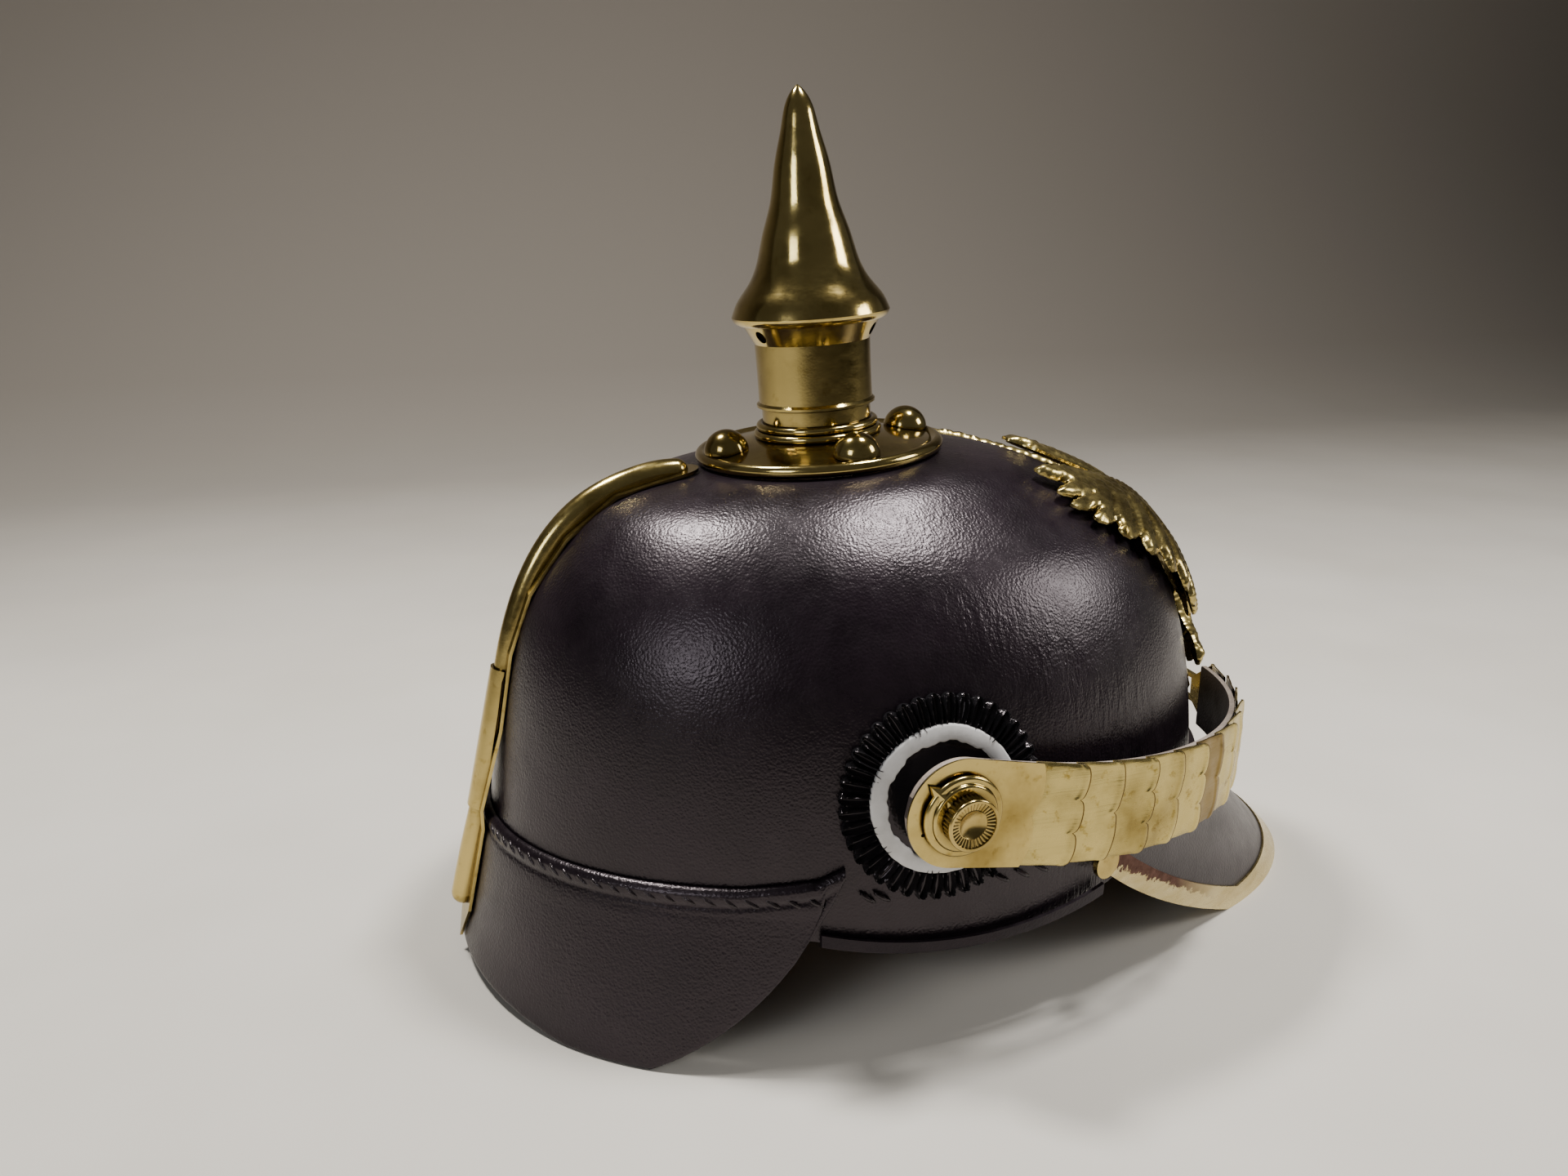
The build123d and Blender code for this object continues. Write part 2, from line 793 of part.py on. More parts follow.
# Studs on the base: domed head, shank and two legs bent out under a washer
stud_base_z = dish_outer_z + (dish_outer_radius - stud_pitch_radius) * math.tan(dish_slope) + touch
washer_top_z = -leather - touch
leg_top_z = washer_top_z - washer_sheet - touch

head_plane = Plane(
    origin=(stud_pitch_radius, 0, stud_base_z),
    x_dir=(math.cos(dish_slope), 0, -math.sin(dish_slope)),
    z_dir=(0, -1, 0),
)
with BuildPart() as base_stud:
    with BuildSketch(head_plane):
        with BuildLine():
            Line((0, 0), (stud_radius, 0))
            Line((stud_radius, 0), (stud_radius, stud_edge))
            dome_arc(stud_radius, stud_edge, stud_height)
            Line((0, stud_height), (0, 0))
        make_face()
    revolve(axis=Axis(head_plane.origin, head_plane.y_dir))
    with Locations((stud_pitch_radius, 0, leg_top_z)):
        Cylinder(
            stud_shank_radius,
            stud_base_z - leg_top_z + stud_edge,
            align=(Align.CENTER, Align.CENTER, Align.MIN),
        )
        Box(leg_width, 2 * leg_length, leg_sheet, align=(Align.CENTER, Align.CENTER, Align.MAX))
rim_clearance = spun(
    (
        (dish_outer_radius, dish_outer_z + touch),
        (base_rim_inner, base_rim_height + touch),
        (base_radius, base_rim_height + touch),
        (base_radius, 0),
        (dish_outer_radius, 0),
    )
)
with BuildPart() as spike_base_studs:
    for index in range(stud_count):
        add(base_stud.part.moved(spike_plane.location * Rot(0, 0, 360 * index / stud_count)))
    add(rim_clearance, mode=Mode.SUBTRACT)
keep(spike_base_studs.part, "spike_base_studs")

with BuildPart() as spike_base_washers:
    with BuildSketch(spike_plane.offset(washer_top_z)):
        with PolarLocations(stud_pitch_radius, stud_count):
            Circle(stud_washer_radius)
            Circle(stud_hole_radius, mode=Mode.SUBTRACT)
    extrude(amount=-washer_sheet)
keep(spike_base_washers.part, "spike_base_washers")

# Spike: outer line as shares of the lip's radius and of the point's height above the lip's underside
point_shares = (
    (1.000, 0.037), (0.970, 0.065), (0.931, 0.095), (0.845, 0.138), (0.755, 0.180), (0.639, 0.265),
    (0.549, 0.381), (0.421, 0.521), (0.343, 0.673), (0.227, 0.834), (0.172, 0.913), (0.077, 0.975),
    (0.000, 1.000),
)
lip_radius = 23.3
lip_z = 39.4
lip_inner_radius = 20.2
lip_under_share = 0.97
lip_under_z = 40.3
point_height = 64.5
point_solid_share = 0.72
band_low_radius = 17.15
band_low_z = 33.9
vent_radius = 2.0
vent_turns = (-40.0, -163.0, 77.0)
neck_waist_radius = 17.0
neck_waist_z = 25.0
neck_lip_radius = 17.75
neck_lip_z = 15.4
neck_lip_height = 1.4
seat_ring_inner = 13.0
seat_ring_sheet = 0.8

outer_line = [(lip_radius * share[0], lip_z + point_height * share[1]) for share in point_shares]
inner_top = (0, lip_z + point_height * point_solid_share)
inner_line = [(radius - sheet, height) for radius, height in outer_line if height < inner_top[1]]

with BuildPart() as spike_point:
    with BuildSketch(spike_section):
        with BuildLine():
            Spline(*outer_line)
            Line(outer_line[-1], inner_top)
            Line(inner_top, inner_line[-1])
            Spline(*inner_line)
            Line(inner_line[0], (lip_inner_radius - sheet, lip_z))
            Line((lip_inner_radius - sheet, lip_z), (lip_inner_radius, lip_z))
            ThreePointArc(
                (lip_inner_radius, lip_z),
                (lip_radius * lip_under_share, lip_under_z),
                outer_line[0],
            )
        make_face()
    revolve(axis=spike_axis)
keep(spike_point.part, "spike_point")

band_middle_z = (band_low_z + lip_z) / 2
band_middle_radius = (band_low_radius + lip_inner_radius) / 2
band_slope = math.atan((lip_inner_radius - band_low_radius) / (lip_z - band_low_z))
vent_plane = Plane(
    origin=(0, 0, band_middle_z + band_middle_radius * math.tan(band_slope)),
    x_dir=(0, 1, 0),
    z_dir=(math.cos(band_slope), 0, -math.sin(band_slope)),
)
with BuildPart() as spike_vent_band:
    add(
        spun(
            (
                (band_low_radius, band_low_z),
                (lip_inner_radius, lip_z),
                (lip_inner_radius - sheet, lip_z),
                (band_low_radius - sheet, band_low_z),
            )
        )
    )
    for turn in vent_turns:
        add(spike_plane.location * Rot(0, 0, turn) * bar(vent_plane, vent_radius), mode=Mode.SUBTRACT)
keep(spike_vent_band.part, "spike_vent_band")

with BuildPart() as spike_neck:
    with BuildSketch(spike_section):
        with BuildLine():
            ThreePointArc(
                (band_low_radius, band_low_z),
                (neck_waist_radius, neck_waist_z),
                (neck_waist_radius, neck_lip_z + neck_lip_height),
            )
            Polyline(
                (neck_waist_radius, neck_lip_z + neck_lip_height),
                (neck_lip_radius, neck_lip_z + neck_lip_height / 2),
                (neck_lip_radius, neck_lip_z),
                (neck_waist_radius - sheet, neck_lip_z),
                (neck_waist_radius - sheet, collar_top_z + touch),
                (seat_ring_inner, collar_top_z + touch),
                (seat_ring_inner, collar_top_z + touch + seat_ring_sheet),
                (neck_waist_radius - sheet, collar_top_z + touch + seat_ring_sheet),
                (band_low_radius - sheet, band_low_z),
                (band_low_radius, band_low_z),
            )
        make_face()
    revolve(axis=spike_axis)
keep(spike_neck.part, "spike_neck")

# Front plate: spread-winged bird, half of its outline as shares of the plate's width and height
plate_outline_shares = (
    (0.000, 0.460), (0.027, 0.452), (0.041, 0.413), (0.081, 0.421), (0.090, 0.373), (0.068, 0.333),
    (0.086, 0.286), (0.072, 0.238), (0.068, 0.198), (0.099, 0.159), (0.153, 0.214), (0.207, 0.294),
    (0.252, 0.381), (0.297, 0.456), (0.342, 0.500), (0.362, 0.452), (0.344, 0.405), (0.422, 0.456),
    (0.423, 0.413), (0.396, 0.377), (0.462, 0.429), (0.464, 0.381), (0.428, 0.344), (0.486, 0.369),
    (0.491, 0.325), (0.448, 0.296), (0.500, 0.298), (0.500, 0.254), (0.452, 0.230), (0.495, 0.214),
    (0.491, 0.171), (0.432, 0.153), (0.473, 0.123), (0.464, 0.079), (0.405, 0.074), (0.446, 0.036),
    (0.432, -0.008), (0.377, -0.002), (0.405, -0.052), (0.383, -0.091), (0.329, -0.067),
    (0.347, -0.123), (0.315, -0.155), (0.272, -0.119), (0.270, -0.179), (0.234, -0.198),
    (0.198, -0.151), (0.153, -0.159), (0.162, -0.206), (0.216, -0.238), (0.279, -0.230),
    (0.324, -0.262), (0.302, -0.302), (0.248, -0.294), (0.216, -0.341), (0.176, -0.302),
    (0.122, -0.270), (0.108, -0.317), (0.153, -0.365), (0.189, -0.429), (0.140, -0.437),
    (0.126, -0.476), (0.072, -0.456), (0.045, -0.500), (0.000, -0.476),
)
near_half = [plate_point(share) for share in plate_outline_shares]
far_half = [(-across, up) for across, up in reversed(near_half[1:-1])]

with BuildPart() as front_plate:
    with BuildSketch(plate_plane):
        with BuildLine():
            Polyline(*near_half, *far_half, near_half[0])
        make_face()
    extrude(amount=overrun)
    add(skull_form(plate_stand + plate_sheet), mode=Mode.INTERSECT)
    add(skull_form(plate_stand), mode=Mode.SUBTRACT)
    for plane in plate_post_planes:
        add(slab([bar(plane, plate_post_radius)], skull_form(plate_stand + plate_sheet / 2), nut_face))
keep(front_plate.part, "front_plate")

# Cockades: pleated disc and a ring on it
cockade_radius = 27.5
cockade_valley_radius = 26.7
cockade_pleats = 40
cockade_face = 2.2
ring_radius = 19.75
ring_inner_radius = 15.5
ring_face = 2.8

with BuildPart() as right_cockade:
    with BuildSketch(side_plane(inner_start)):
        with BuildLine():
            step = 2 * math.pi / cockade_pleats
            for index in range(cockade_pleats):
                turns = (index * step, (index + 0.5) * step, (index + 1) * step)
                radii = (cockade_valley_radius, cockade_radius, cockade_valley_radius)
                points = []
                for radius, turn in zip(radii, turns):
                    points.append((radius * math.cos(turn), radius * math.sin(turn)))
                ThreePointArc(*points)
        make_face()
        Circle(post_hole_radius, mode=Mode.SUBTRACT)
    extrude(amount=overrun)
    add(skull_form(cockade_face), mode=Mode.INTERSECT)
    add(skull_clear, mode=Mode.SUBTRACT)

with BuildPart() as right_cockade_ring:
    with BuildSketch(side_plane(inner_start)):
        Circle(ring_radius)
        Circle(ring_inner_radius, mode=Mode.SUBTRACT)
    extrude(amount=overrun)
    add(skull_form(ring_face), mode=Mode.INTERSECT)
    add(skull_form(cockade_face + touch), mode=Mode.SUBTRACT)

# Chin scales: path round the front at the level of the scales' undersides
strap_side = 95.5
strap_straight = 28.0
strap_reach = 114.0
strap_drop = 18.5
strap_fade = 80.0
first_hinge = 20.0
scale_pitch = 12.6
scale_count = 12
strap_end = 192.5
strap_height = 29.6
strap_taper_share = 0.035
scale_tail = 0.5
scale_lap = 3.0
lobe_depth = 1.9
scale_sheet = 0.5
scale_lift = 1.1
end_rise = 0.85

with BuildLine() as strap_plan:
    Line((0, -strap_side), (strap_straight, -strap_side))
    EllipticalCenterArc((strap_straight, 0), strap_reach, strap_side, start_angle=-90, arc_size=90)
strap_wire = Wire(strap_plan.edges())


def strap_point(length):
    """Point of the chin scales' path at a length from the side post."""
    flat = strap_wire.position_at(length, position_mode=PositionMode.LENGTH)
    return Vector(flat.X, flat.Y, post_z - strap_drop * (1 - math.exp(-length / strap_fade)))


def strap_depth(length):
    """Height of the chin scales at a length from the side post."""
    return strap_height - strap_taper_share * length


def link_plane(start, end, lift=0.0, raised=0.0):
    """Plane of a link from its rear hinge, x along the link, tilted outwards towards its free end by lift."""
    along = (strap_point(end) - strap_point(start)).normalized()
    out = along.cross(Vector(0, 0, 1)).normalized()
    tilt = math.atan(lift)
    return Plane(
        origin=strap_point(start) + out * raised,
        x_dir=along * math.cos(tilt) + out * math.sin(tilt),
        z_dir=out * math.cos(tilt) - along * math.sin(tilt),
    )


def lobed_edge(x, half_height, lobes):
    """Edge of rounded lobes across the free end of a link."""
    for index in range(lobes):
        low = half_height - 2 * half_height * index / lobes
        high = half_height - 2 * half_height * (index + 1) / lobes
        ThreePointArc((x, low), (x + lobe_depth, (low + high) / 2), (x, high))


hinges = [first_hinge + scale_pitch * index for index in range(scale_count + 1)]
scale_parts = []
for index in range(scale_count):
    start, end = hinges[index], hinges[index + 1]
    length = (strap_point(end) - strap_point(start)).length
    rear_half = strap_depth(start) / 2
    front_half = strap_depth(end) / 2
    front_x = length + scale_lap - lobe_depth
    with BuildPart() as scale:
        with BuildSketch(link_plane(start, end, scale_lift / (length + scale_lap))):
            with BuildLine():
                Polyline(
                    (front_x, -front_half),
                    (-scale_tail, -rear_half),
                    (-scale_tail, rear_half),
                    (front_x, front_half),
                )
                lobed_edge(front_x, front_half, 2 + (index + 1) % 2)
            make_face()
        extrude(amount=scale_sheet)
    scale_parts.append(scale.part)

# End plate at the post, with two small holes behind
end_plate_radius = 14.8
end_plate_reach = 22.8
end_hole_x = -9.5
end_hole_y = 6.0
end_hole_radius = 0.5
end_half = strap_depth(end_plate_reach) / 2
with BuildPart() as right_end_plate:
    with BuildSketch(link_plane(0, first_hinge, 0.0, end_rise)):
        Circle(end_plate_radius)
        with BuildLine():
            Polyline(
                (end_plate_reach - lobe_depth, -end_half),
                (0, -end_plate_radius),
                (0, end_plate_radius),
                (end_plate_reach - lobe_depth, end_half),
            )
            lobed_edge(end_plate_reach - lobe_depth, end_half, 2)
        make_face()
        Circle(post_hole_radius, mode=Mode.SUBTRACT)
        with Locations((end_hole_x, -end_hole_y), (end_hole_x, end_hole_y)):
            Circle(end_hole_radius, mode=Mode.SUBTRACT)
    extrude(amount=thin_sheet)

# Leather backing strap
strap_leather = 2.0
strap_gap = 0.3
strap_margin = 1.0
leather_rear = -12.5
leather_front = 173.0
stations = [leather_rear, 0.0] + hinges + [leather_front]
with BuildPart() as right_strap_leather:
    for station in stations:
        before = max(station - scale_pitch / 2, leather_rear)
        after = min(station + scale_pitch / 2, leather_front)
        if station == leather_rear:
            along = (strap_point(first_hinge) - strap_point(0)).normalized()
            base = strap_point(0) + along * leather_rear
        elif station == 0:
            base = strap_point(0)
        else:
            base = strap_point(station)
            along = (strap_point(after) - strap_point(station - scale_pitch / 2)).normalized()
        out = along.cross(Vector(0, 0, 1)).normalized()
        middle = base - out * (strap_gap + strap_leather / 2)
        with BuildSketch(Plane(origin=middle, x_dir=out, z_dir=along)):
            Rectangle(strap_leather, strap_depth(max(station, 0)) - 2 * strap_margin)
    loft(ruled=True)
    with BuildSketch(side_plane(inner_start)):
        Circle(end_plate_radius - strap_margin)
        with Locations((overrun / 2, 0)):
            Rectangle(overrun, 2 * overrun)
    extrude(amount=overrun, mode=Mode.INTERSECT)
    with BuildSketch(side_plane(inner_start)):
        Circle(post_hole_radius)
    extrude(amount=overrun, mode=Mode.SUBTRACT)

# Clasp in front: loop on the right half, hook on the left half
clasp_start = hinges[-1]
clasp_length = (strap_point(strap_end) - strap_point(clasp_start)).length
clasp_plane = link_plane(clasp_start, strap_end)
clasp_body = 9.0
clasp_half = 5.0
clasp_bar = 1.6
hook_half = 2.6
hook_rise = 2.2
hook_nub = 2.0
clasp_rear = strap_depth(clasp_start) / 2


def clasp_sheet():
    """Tapered sheet of a clasp, without its loop or hook."""
    with BuildPart() as body:
        with BuildSketch(clasp_plane):
            with BuildLine():
                Polyline(
                    (-scale_tail, -clasp_rear),
                    (-scale_tail, clasp_rear),
                    (clasp_body, clasp_half),
                    (clasp_body, -clasp_half),
                    (-scale_tail, -clasp_rear),
                )
            make_face()
        extrude(amount=scale_sheet)
    return body.part


with BuildPart() as right_strap_loop:
    add(clasp_sheet())
    with BuildSketch(clasp_plane):
        with BuildLine():
            Polyline(
                (clasp_body, -clasp_half),
                (clasp_body, clasp_half),
                (clasp_length, clasp_half),
                (clasp_length, -clasp_half),
                (clasp_body, -clasp_half),
            )
        make_face()
        with BuildLine():
            Polyline(
                (clasp_body + clasp_bar, clasp_bar - clasp_half),
                (clasp_body + clasp_bar, clasp_half - clasp_bar),
                (clasp_length - clasp_bar, clasp_half - clasp_bar),
                (clasp_length - clasp_bar, clasp_bar - clasp_half),
                (clasp_body + clasp_bar, clasp_bar - clasp_half),
            )
        make_face(mode=Mode.SUBTRACT)
    extrude(amount=clasp_bar)

with BuildPart() as left_strap_hook:
    add(clasp_sheet())
    with BuildSketch(Plane(origin=clasp_plane.origin, x_dir=clasp_plane.x_dir, z_dir=clasp_plane.y_dir)):
        with BuildLine():
            Polyline(
                (clasp_body - clasp_bar, 0),
                (clasp_length, 0),
                (clasp_length, -hook_rise - scale_sheet),
                (clasp_length - hook_nub - scale_sheet, -hook_rise - scale_sheet),
                (clasp_length - hook_nub - scale_sheet, -hook_rise),
                (clasp_length - scale_sheet, -hook_rise),
                (clasp_length - scale_sheet, -scale_sheet),
                (clasp_body - clasp_bar, -scale_sheet),
                (clasp_body - clasp_bar, 0),
            )
        make_face()
    extrude(amount=hook_half, both=True)

# Side post: shank and stepped ring with a three-cornered locking nose, then a milled screw
ring_start = strap_side + end_rise + thin_sheet + running
ring_step_radii = (11.0, 9.0, 7.5)
ring_step_heights = (1.2, 0.8, 0.6)
nose_turn = 135.0
nose_reach = 13.5
nose_width = 7.0
nose_start = 7.0
nose_sheet = 1.6
screw_head_radius = 7.0
screw_head_height = 4.4
screw_rim = 1.2
screw_dish = 0.9
screw_dome_radius = 3.0
screw_notch_radius = 0.35
screw_notches = 30
ring_top = ring_start + sum(ring_step_heights)

with BuildPart() as right_post_ring:
    with BuildSketch(side_plane(inner_start)):
        Circle(post_shank_radius)
    extrude(amount=ring_start - inner_start)
    add(skull_seat, mode=Mode.SUBTRACT)
    level = ring_start
    for radius, height in zip(ring_step_radii, ring_step_heights):
        with BuildSketch(side_plane(level)):
            Circle(radius)
        extrude(amount=height)
        level += height
    with BuildSketch(side_plane(ring_start + running)):
        turn = math.radians(nose_turn)
        tip = (nose_reach * math.cos(turn), nose_reach * math.sin(turn))
        across = (-math.sin(turn) * nose_width / 2, math.cos(turn) * nose_width / 2)
        root = (nose_start * math.cos(turn), nose_start * math.sin(turn))
        with BuildLine():
            Polyline(
                tip,
                (root[0] + across[0], root[1] + across[1]),
                (root[0] - across[0], root[1] - across[1]),
                tip,
            )
        make_face()
    extrude(amount=nose_sheet)
    with BuildSketch(side_plane(inner_start)):
        Circle(screw_shank_radius + fit)
    extrude(amount=overrun, mode=Mode.SUBTRACT)

with BuildPart() as right_post_screw:
    with BuildSketch(side_plane(ring_top + touch)):
        Circle(screw_head_radius)
        with PolarLocations(screw_head_radius, screw_notches):
            Circle(screw_notch_radius, mode=Mode.SUBTRACT)
    extrude(amount=screw_head_height)
    with BuildSketch(side_plane(ring_top + touch + screw_head_height)):
        Circle(screw_head_radius - screw_rim)
    extrude(amount=-screw_dish, mode=Mode.SUBTRACT)
    with BuildSketch(side_plane(ring_top + touch + screw_head_height - screw_dish)):
        Circle(screw_dome_radius)
    extrude(amount=screw_dish / 2)
    with BuildSketch(side_plane(inner_start)):
        Circle(screw_shank_radius)
    extrude(amount=ring_top + touch - inner_start)
    add(nut_face, mode=Mode.SUBTRACT)

# Nuts and washers inside
with BuildPart() as inner_nuts:
    for plane, bolt_radius in (
        [(plane, screw_shank_radius) for plane in post_planes]
        + [(plane, plate_post_radius) for plane in plate_post_planes]
        + [(plane, spine_stud_radius) for plane in spine_stud_planes]
    ):
        wide = washer_radius if bolt_radius == screw_shank_radius else nut_radius
        add(slab([bar(plane, wide)], inner_face, washer_face))
        add(slab([hexagon_bar(plane, nut_radius - fit)], nut_seat, nut_face))
        add(bar(plane, bolt_radius + touch), mode=Mode.SUBTRACT)
keep(inner_nuts.part, "inner_nuts")

# Both sides
for name, part in (
    ("cockade", right_cockade.part),
    ("cockade_ring", right_cockade_ring.part),
    ("post_ring", right_post_ring.part),
    ("post_screw", right_post_screw.part),
    ("end_plate", right_end_plate.part),
    ("strap_leather", right_strap_leather.part),
):
    keep(part, "right_" + name)
    keep(mirror(part, about=Plane.XZ), "left_" + name)
for index, part in enumerate(scale_parts):
    keep(part, f"right_scale_{index + 1:02d}")
    keep(mirror(part, about=Plane.XZ), f"left_scale_{index + 1:02d}")
keep(right_strap_loop.part, "right_strap_loop")
keep(mirror(left_strap_hook.part, about=Plane.XZ), "left_strap_hook")
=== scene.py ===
import bmesh
import bpy
import math
import numpy as np
from mathutils import Matrix, Vector
from mathutils.bvhtree import BVHTree
from mathutils.geometry import delaunay_2d_cdt

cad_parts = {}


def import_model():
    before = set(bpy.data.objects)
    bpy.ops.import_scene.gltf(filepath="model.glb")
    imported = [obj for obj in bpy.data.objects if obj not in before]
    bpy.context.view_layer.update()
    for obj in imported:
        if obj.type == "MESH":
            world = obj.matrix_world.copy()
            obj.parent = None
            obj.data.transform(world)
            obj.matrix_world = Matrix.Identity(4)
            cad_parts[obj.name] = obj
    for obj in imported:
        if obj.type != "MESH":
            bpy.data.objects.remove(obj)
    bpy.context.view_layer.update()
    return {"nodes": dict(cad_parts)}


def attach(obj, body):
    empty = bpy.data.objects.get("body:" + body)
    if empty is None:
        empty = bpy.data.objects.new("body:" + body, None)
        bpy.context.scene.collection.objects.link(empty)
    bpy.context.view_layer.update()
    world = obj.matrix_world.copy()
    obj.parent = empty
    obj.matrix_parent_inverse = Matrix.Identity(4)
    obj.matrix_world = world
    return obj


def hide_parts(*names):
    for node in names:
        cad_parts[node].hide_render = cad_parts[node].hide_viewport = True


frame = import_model()
nodes = frame["nodes"]
rng = np.random.default_rng(7)

MM = 0.001
FOOT_X = -29.8
LENGTH, WIDTH, CROWN = 227.5, 180.0, 146.75
LEAN = math.radians(4.28)
SEAM_X, SEAM_Z, SEAM_A, SEAM_B = 12.4, 42.0, 117.2, 89.7
LAP_Z, LAP_A, LAP_B = 60.0, 115.4, 89.2
LEATHER = 2.4
TAU = 2 * math.pi


# Meshes
def placed(name, data):
    obj = bpy.data.objects.new(name, data)
    bpy.context.scene.collection.objects.link(obj)
    return obj


def link(name, verts, faces, body, mat):
    """New piece from vertices in millimetres from the spike's foot, riding on a CAD body."""
    mesh = bpy.data.meshes.new(name)
    verts = np.asarray(verts, float).reshape(-1, 3)
    verts = (verts + (FOOT_X, 0, 0)) * MM
    mesh.from_pydata(verts.tolist(), [], [tuple(int(i) for i in f) for f in faces])
    mesh.validate()
    mesh.update()
    obj = placed(name, mesh)
    mesh.materials.append(mat)
    mesh.polygons.foreach_set("use_smooth", [True] * len(mesh.polygons))
    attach(obj, body)
    return obj


def grid_faces(rows, cols, base=0, wrap=False, flip=False):
    out = []
    last = cols if wrap else cols - 1
    for r in range(rows - 1):
        for c in range(last):
            d = (c + 1) % cols
            low, high = base + r * cols, base + (r + 1) * cols
            quad = (low + c, low + d, high + d, high + c)
            out.append(quad[::-1] if flip else quad)
    return out


def end_faces(rows, cols):
    """Faces that close the two ends of a grid that runs round."""
    return [tuple(range(cols))[::-1], tuple((rows - 1) * cols + c for c in range(cols))]


def shell(outer, inner, wrap=False):
    """Closed mesh between two grids of points."""
    rows, cols = outer.shape[:2]
    n = rows * cols
    verts = np.concatenate([outer.reshape(-1, 3), inner.reshape(-1, 3)])
    faces = grid_faces(rows, cols, 0, wrap) + grid_faces(rows, cols, n, wrap, True)
    last = cols if wrap else cols - 1
    for r, turn in ((0, True), (rows - 1, False)):
        for c in range(last):
            d = (c + 1) % cols
            quad = (r * cols + c, r * cols + d, n + r * cols + d, n + r * cols + c)
            faces.append(quad[::-1] if turn else quad)
    if not wrap:
        for c, turn in ((0, False), (cols - 1, True)):
            for r in range(rows - 1):
                quad = (r * cols + c, (r + 1) * cols + c, n + (r + 1) * cols + c, n + r * cols + c)
                faces.append(quad[::-1] if turn else quad)
    return verts, faces


def face_out(obj):
    """Make the faces of a closed piece point outwards."""
    bm = bmesh.new()
    bm.from_mesh(obj.data)
    bmesh.ops.recalc_face_normals(bm, faces=bm.faces)
    bm.to_mesh(obj.data)
    bm.free()
    return obj


def sharp(obj, degrees=35):
    """Smooth shading with sharp edges above an angle."""
    obj.data.polygons.foreach_set("use_smooth", [True] * len(obj.data.polygons))
    obj.data.set_sharp_from_angle(angle=math.radians(degrees))
    return obj


def tube(path, radius, sides=8):
    """Closed tube along points."""
    p = np.asarray(path, float)
    n = len(p)
    tangent = np.gradient(p, axis=0)
    tangent /= np.linalg.norm(tangent, axis=1)[:, None]
    radius = np.broadcast_to(radius, (n,))
    ref = np.array([0.3, 0.2, 1.0])
    verts = []
    for k in range(n):
        a = np.cross(tangent[k], ref)
        a /= np.linalg.norm(a)
        b = np.cross(tangent[k], a)
        for s in range(sides):
            t = TAU * s / sides
            verts.append(p[k] + radius[k] * (a * math.cos(t) + b * math.sin(t)))
    return verts, grid_faces(n, sides, 0, True) + end_faces(n, sides)


def join_parts(parts):
    verts, faces = [], []
    for v, f in parts:
        base = len(verts)
        verts.extend([tuple(map(float, q)) for q in np.asarray(v).reshape(-1, 3)])
        faces.extend([tuple(int(i) + base for i in q) for q in f])
    return verts, faces


def cubic(knots, values, at):
    """Natural cubic spline through values at knots."""
    knots, at = np.asarray(knots, float), np.asarray(at, float)
    v = np.asarray(values, float)
    n = len(knots)
    h = np.diff(knots)
    a = np.zeros((n, n))
    b = np.zeros((n,) + v.shape[1:])
    a[0, 0] = a[-1, -1] = 1
    for i in range(1, n - 1):
        a[i, i - 1], a[i, i], a[i, i + 1] = h[i - 1], 2 * (h[i - 1] + h[i]), h[i]
        b[i] = 6 * ((v[i + 1] - v[i]) / h[i] - (v[i] - v[i - 1]) / h[i - 1])
    m = np.linalg.solve(a, b.reshape(n, -1)).reshape(v.shape)
    i = np.clip(np.searchsorted(knots, at) - 1, 0, n - 2)
    ex = (1,) * (v.ndim - 1)
    t0 = (at - knots[i]).reshape(-1, *ex)
    t1 = (knots[i + 1] - at).reshape(-1, *ex)
    hh = h[i].reshape(-1, *ex)
    return (m[i] * t1**3 + m[i + 1] * t0**3) / (6 * hh) + (v[i] / hh - m[i] * hh / 6) * t1 + (
        v[i + 1] / hh - m[i + 1] * hh / 6
    ) * t0


def dome(d, wide):
    """Round ridge: 1 on its line, 0 at its width."""
    return np.sqrt(np.clip(1 - (d / wide) ** 2, 0, 1))


def bell(x):
    return np.exp(-(x**2))


# Skull surface
# Height, reach to the rear and to the front, half width and tilt of each section, as shares
SHARES = (
    (0.1770, 0.4680, 0.5760, 0.985, 0.0), (0.3410, 0.4555, 0.5670, 0.991, 0.0),
    (0.4910, 0.4405, 0.5540, 0.980, 0.0), (0.6470, 0.4220, 0.5300, 0.939, 0.0),
    (0.7630, 0.3935, 0.4970, 0.872, 0.0), (0.8650, 0.3450, 0.4420, 0.767, 0.0),
    (0.9400, 0.2810, 0.3560, 0.622, 0.0), (0.9870, 0.1930, 0.2460, 0.500, 0.55),
    (1.0000, 0.1590, 0.1590, 0.402, 1.0),
)
HEIGHTS = np.array([s[0] * CROWN for s in SHARES])
REARS = np.array([s[1] * LENGTH for s in SHARES])
FRONTS = np.array([s[2] * LENGTH for s in SHARES])
HALVES = np.array([s[3] * WIDTH / 2 for s in SHARES])
MEANS = (REARS + FRONTS) / 2


def steepness(values, i):
    low, high = max(i - 1, 0), min(i + 1, len(values) - 1)
    return (values[high] - values[low]) / (HEIGHTS[high] - HEIGHTS[low])


def skull_rings(grow, turns):
    """Points of the skull's sections at each angle."""
    rings = []
    for i, height in enumerate(HEIGHTS):
        mean_slope = steepness(MEANS, i)
        rise = -mean_slope / math.hypot(1, mean_slope)
        rear, front, half = [
            v[i] + grow * (math.hypot(1, steepness(v, i)) + steepness(v, i) * rise)
            for v in (REARS, FRONTS, HALVES)
        ]
        tilt = SHARES[i][4] * LEAN
        a = (rear + front) / 2 / math.cos(tilt)
        across = a * np.cos(turns)
        rings.append(np.stack([
            (front - rear) / 2 + across * math.cos(tilt),
            half * np.sin(turns),
            height + grow * rise + across * math.sin(tilt),
        ], -1))
    return np.array(rings)


